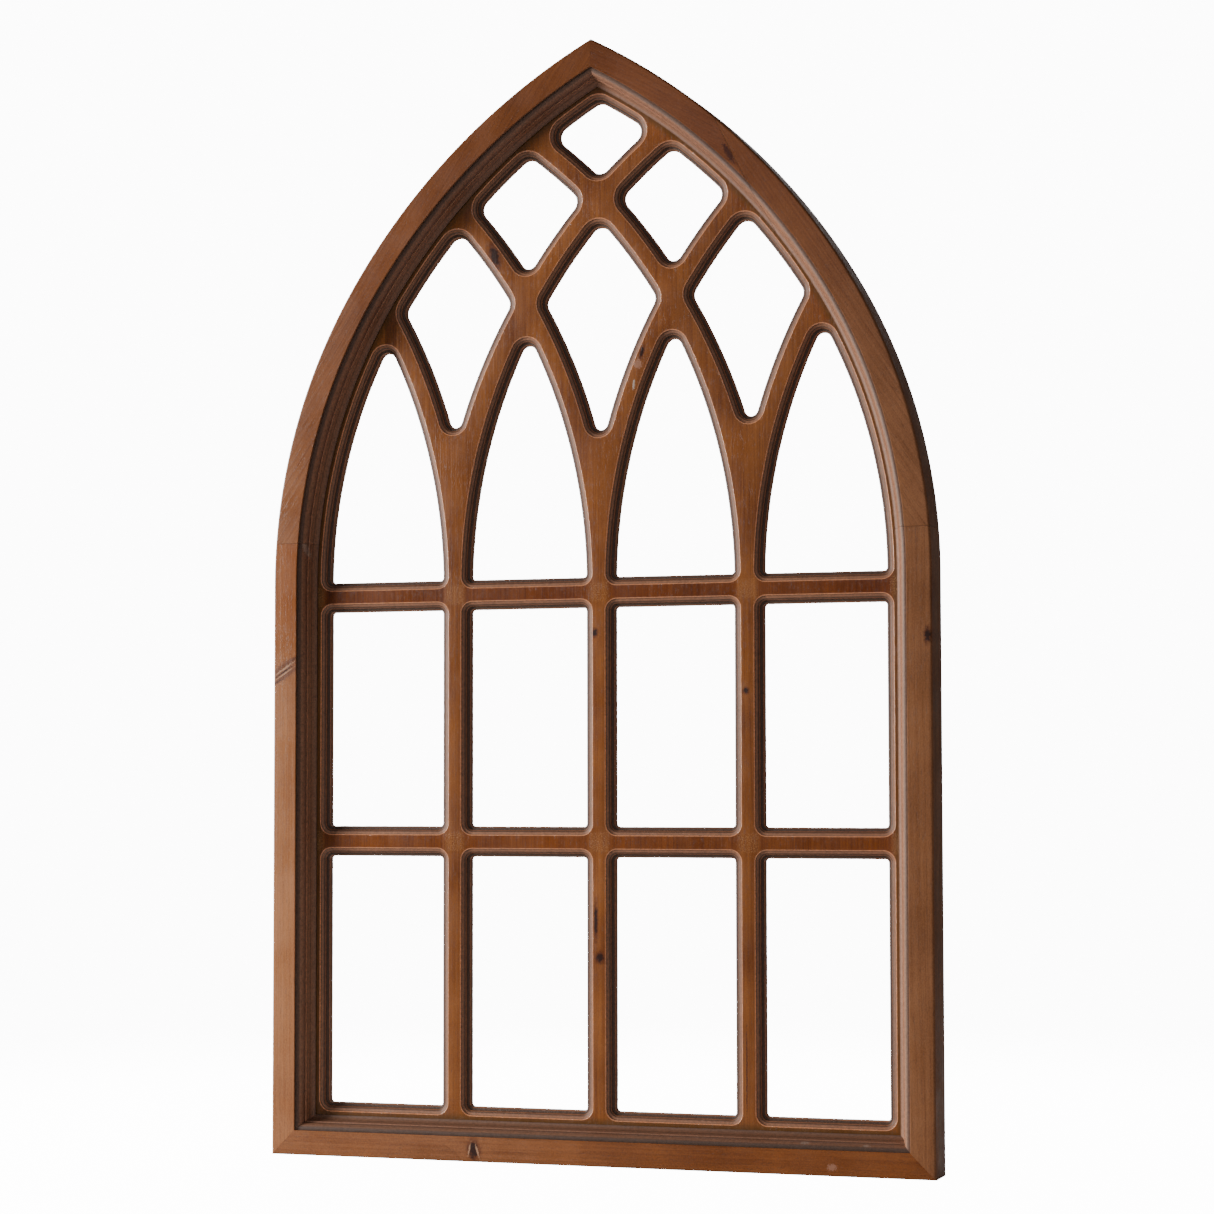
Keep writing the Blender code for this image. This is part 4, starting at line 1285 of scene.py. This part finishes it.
def make_floor():
    """A plain pale floor that fades out round its edge."""
    shape = bmesh.new()
    bmesh.ops.create_circle(shape, cap_ends=True, segments=96, radius=FLOOR_RADIUS)
    floor = bpy.data.objects.new("floor", finish_mesh(shape, "floor"))
    floor.location = (0.0, 0.0, CAD_BOUNDS[0][2] - FLOOR_GAP)
    link(floor)
    finish = Finish("pale_floor")
    cloud = finish.noise(3.0)
    pale = finish.mix(cloud, (0.93, 0.93, 0.93), (0.95, 0.95, 0.95))
    seen = finish.add("LightPath").outputs["Is Camera Ray"]
    glow = finish.times(seen, FLOOR_GLOW)
    fade = finish.between(finish.length(finish.place), *FLOOR_FADE)
    finish.set(Base_Color=pale, Roughness=0.9, Specular_IOR_Level=0.1, Alpha=fade)
    finish.set(Emission_Color=(1.0, 1.0, 1.0, 1.0), Emission_Strength=glow)
    floor.data.materials.append(finish.material)


def make_room():
    """Even white surroundings, brighter to the camera than to the object."""
    world = bpy.data.worlds.new("white_room")
    bpy.context.scene.world = world
    world.use_nodes = True
    nodes = world.node_tree.nodes
    background = nodes["Background"]
    background.inputs["Color"].default_value = (1.0, 1.0, 1.0, 1.0)
    seen = nodes.new("ShaderNodeLightPath")
    level = nodes.new("ShaderNodeMapRange")
    level.inputs[3].default_value = ROOM_LIGHT
    level.inputs[4].default_value = ROOM_WHITE
    world.node_tree.links.new(seen.outputs["Is Camera Ray"], level.inputs[0])
    world.node_tree.links.new(level.outputs[0], background.inputs["Strength"])


def make_lights():
    add_light("key", (-2.65, -1.25, 0.95), size=(0.9, 1.5), power=105.0, colour=(1.0, 0.98, 0.95))
    add_light("front", (0.3, -3.4, 1.6), size=(1.8, 1.2), power=8.0)
    add_light("behind", (-0.6, 2.4, 1.4), size=(1.8, 1.8), power=8.0)


def make_camera():
    data = bpy.data.cameras.new("camera")
    data.lens = CAMERA_LENS
    data.sensor_width = 36.0
    camera = bpy.data.objects.new("camera", data)
    turn = Matrix.Rotation(CAMERA_TURN, 4, 'Z')
    tilt = Matrix.Rotation(math.pi / 2 + CAMERA_TILT, 4, 'X')
    roll = Matrix.Rotation(CAMERA_ROLL, 4, 'Z')
    camera.matrix_world = Matrix.Translation(CAMERA_PLACE) @ turn @ tilt @ roll
    link(camera)
    bpy.context.scene.camera = camera


def main():
    make_camera()
    make_floor()
    make_room()
    make_lights()
    woods = make_woods()
    make_frame(woods)
    make_tracery(woods)
    screw_steel = metal_finish("screw_steel_plate", (0.60, 0.59, 0.55), 0.34)
    hanger_steel = metal_finish("hanger_steel_plate", (0.62, 0.60, 0.54), 0.30)
    make_screws(screw_steel)
    make_rings(hanger_steel)
    rubber = speckled_finish(
        "bumper_rubber", 1500.0, (0.012, 0.012, 0.012), (0.035, 0.034, 0.032), 0.82, 0.3
    )
    make_bumpers(rubber)
    repaint("hanger_strap", hanger_steel)
    pegs = speckled_finish(
        "peg_wood", (300.0, 300.0, 900.0), (0.42, 0.27, 0.14), (0.62, 0.44, 0.27), 0.7, 0.2
    )
    for prefix in ("arch_dowel", "apex_dowel", "corner_spline"):
        repaint(prefix, pegs)


main()
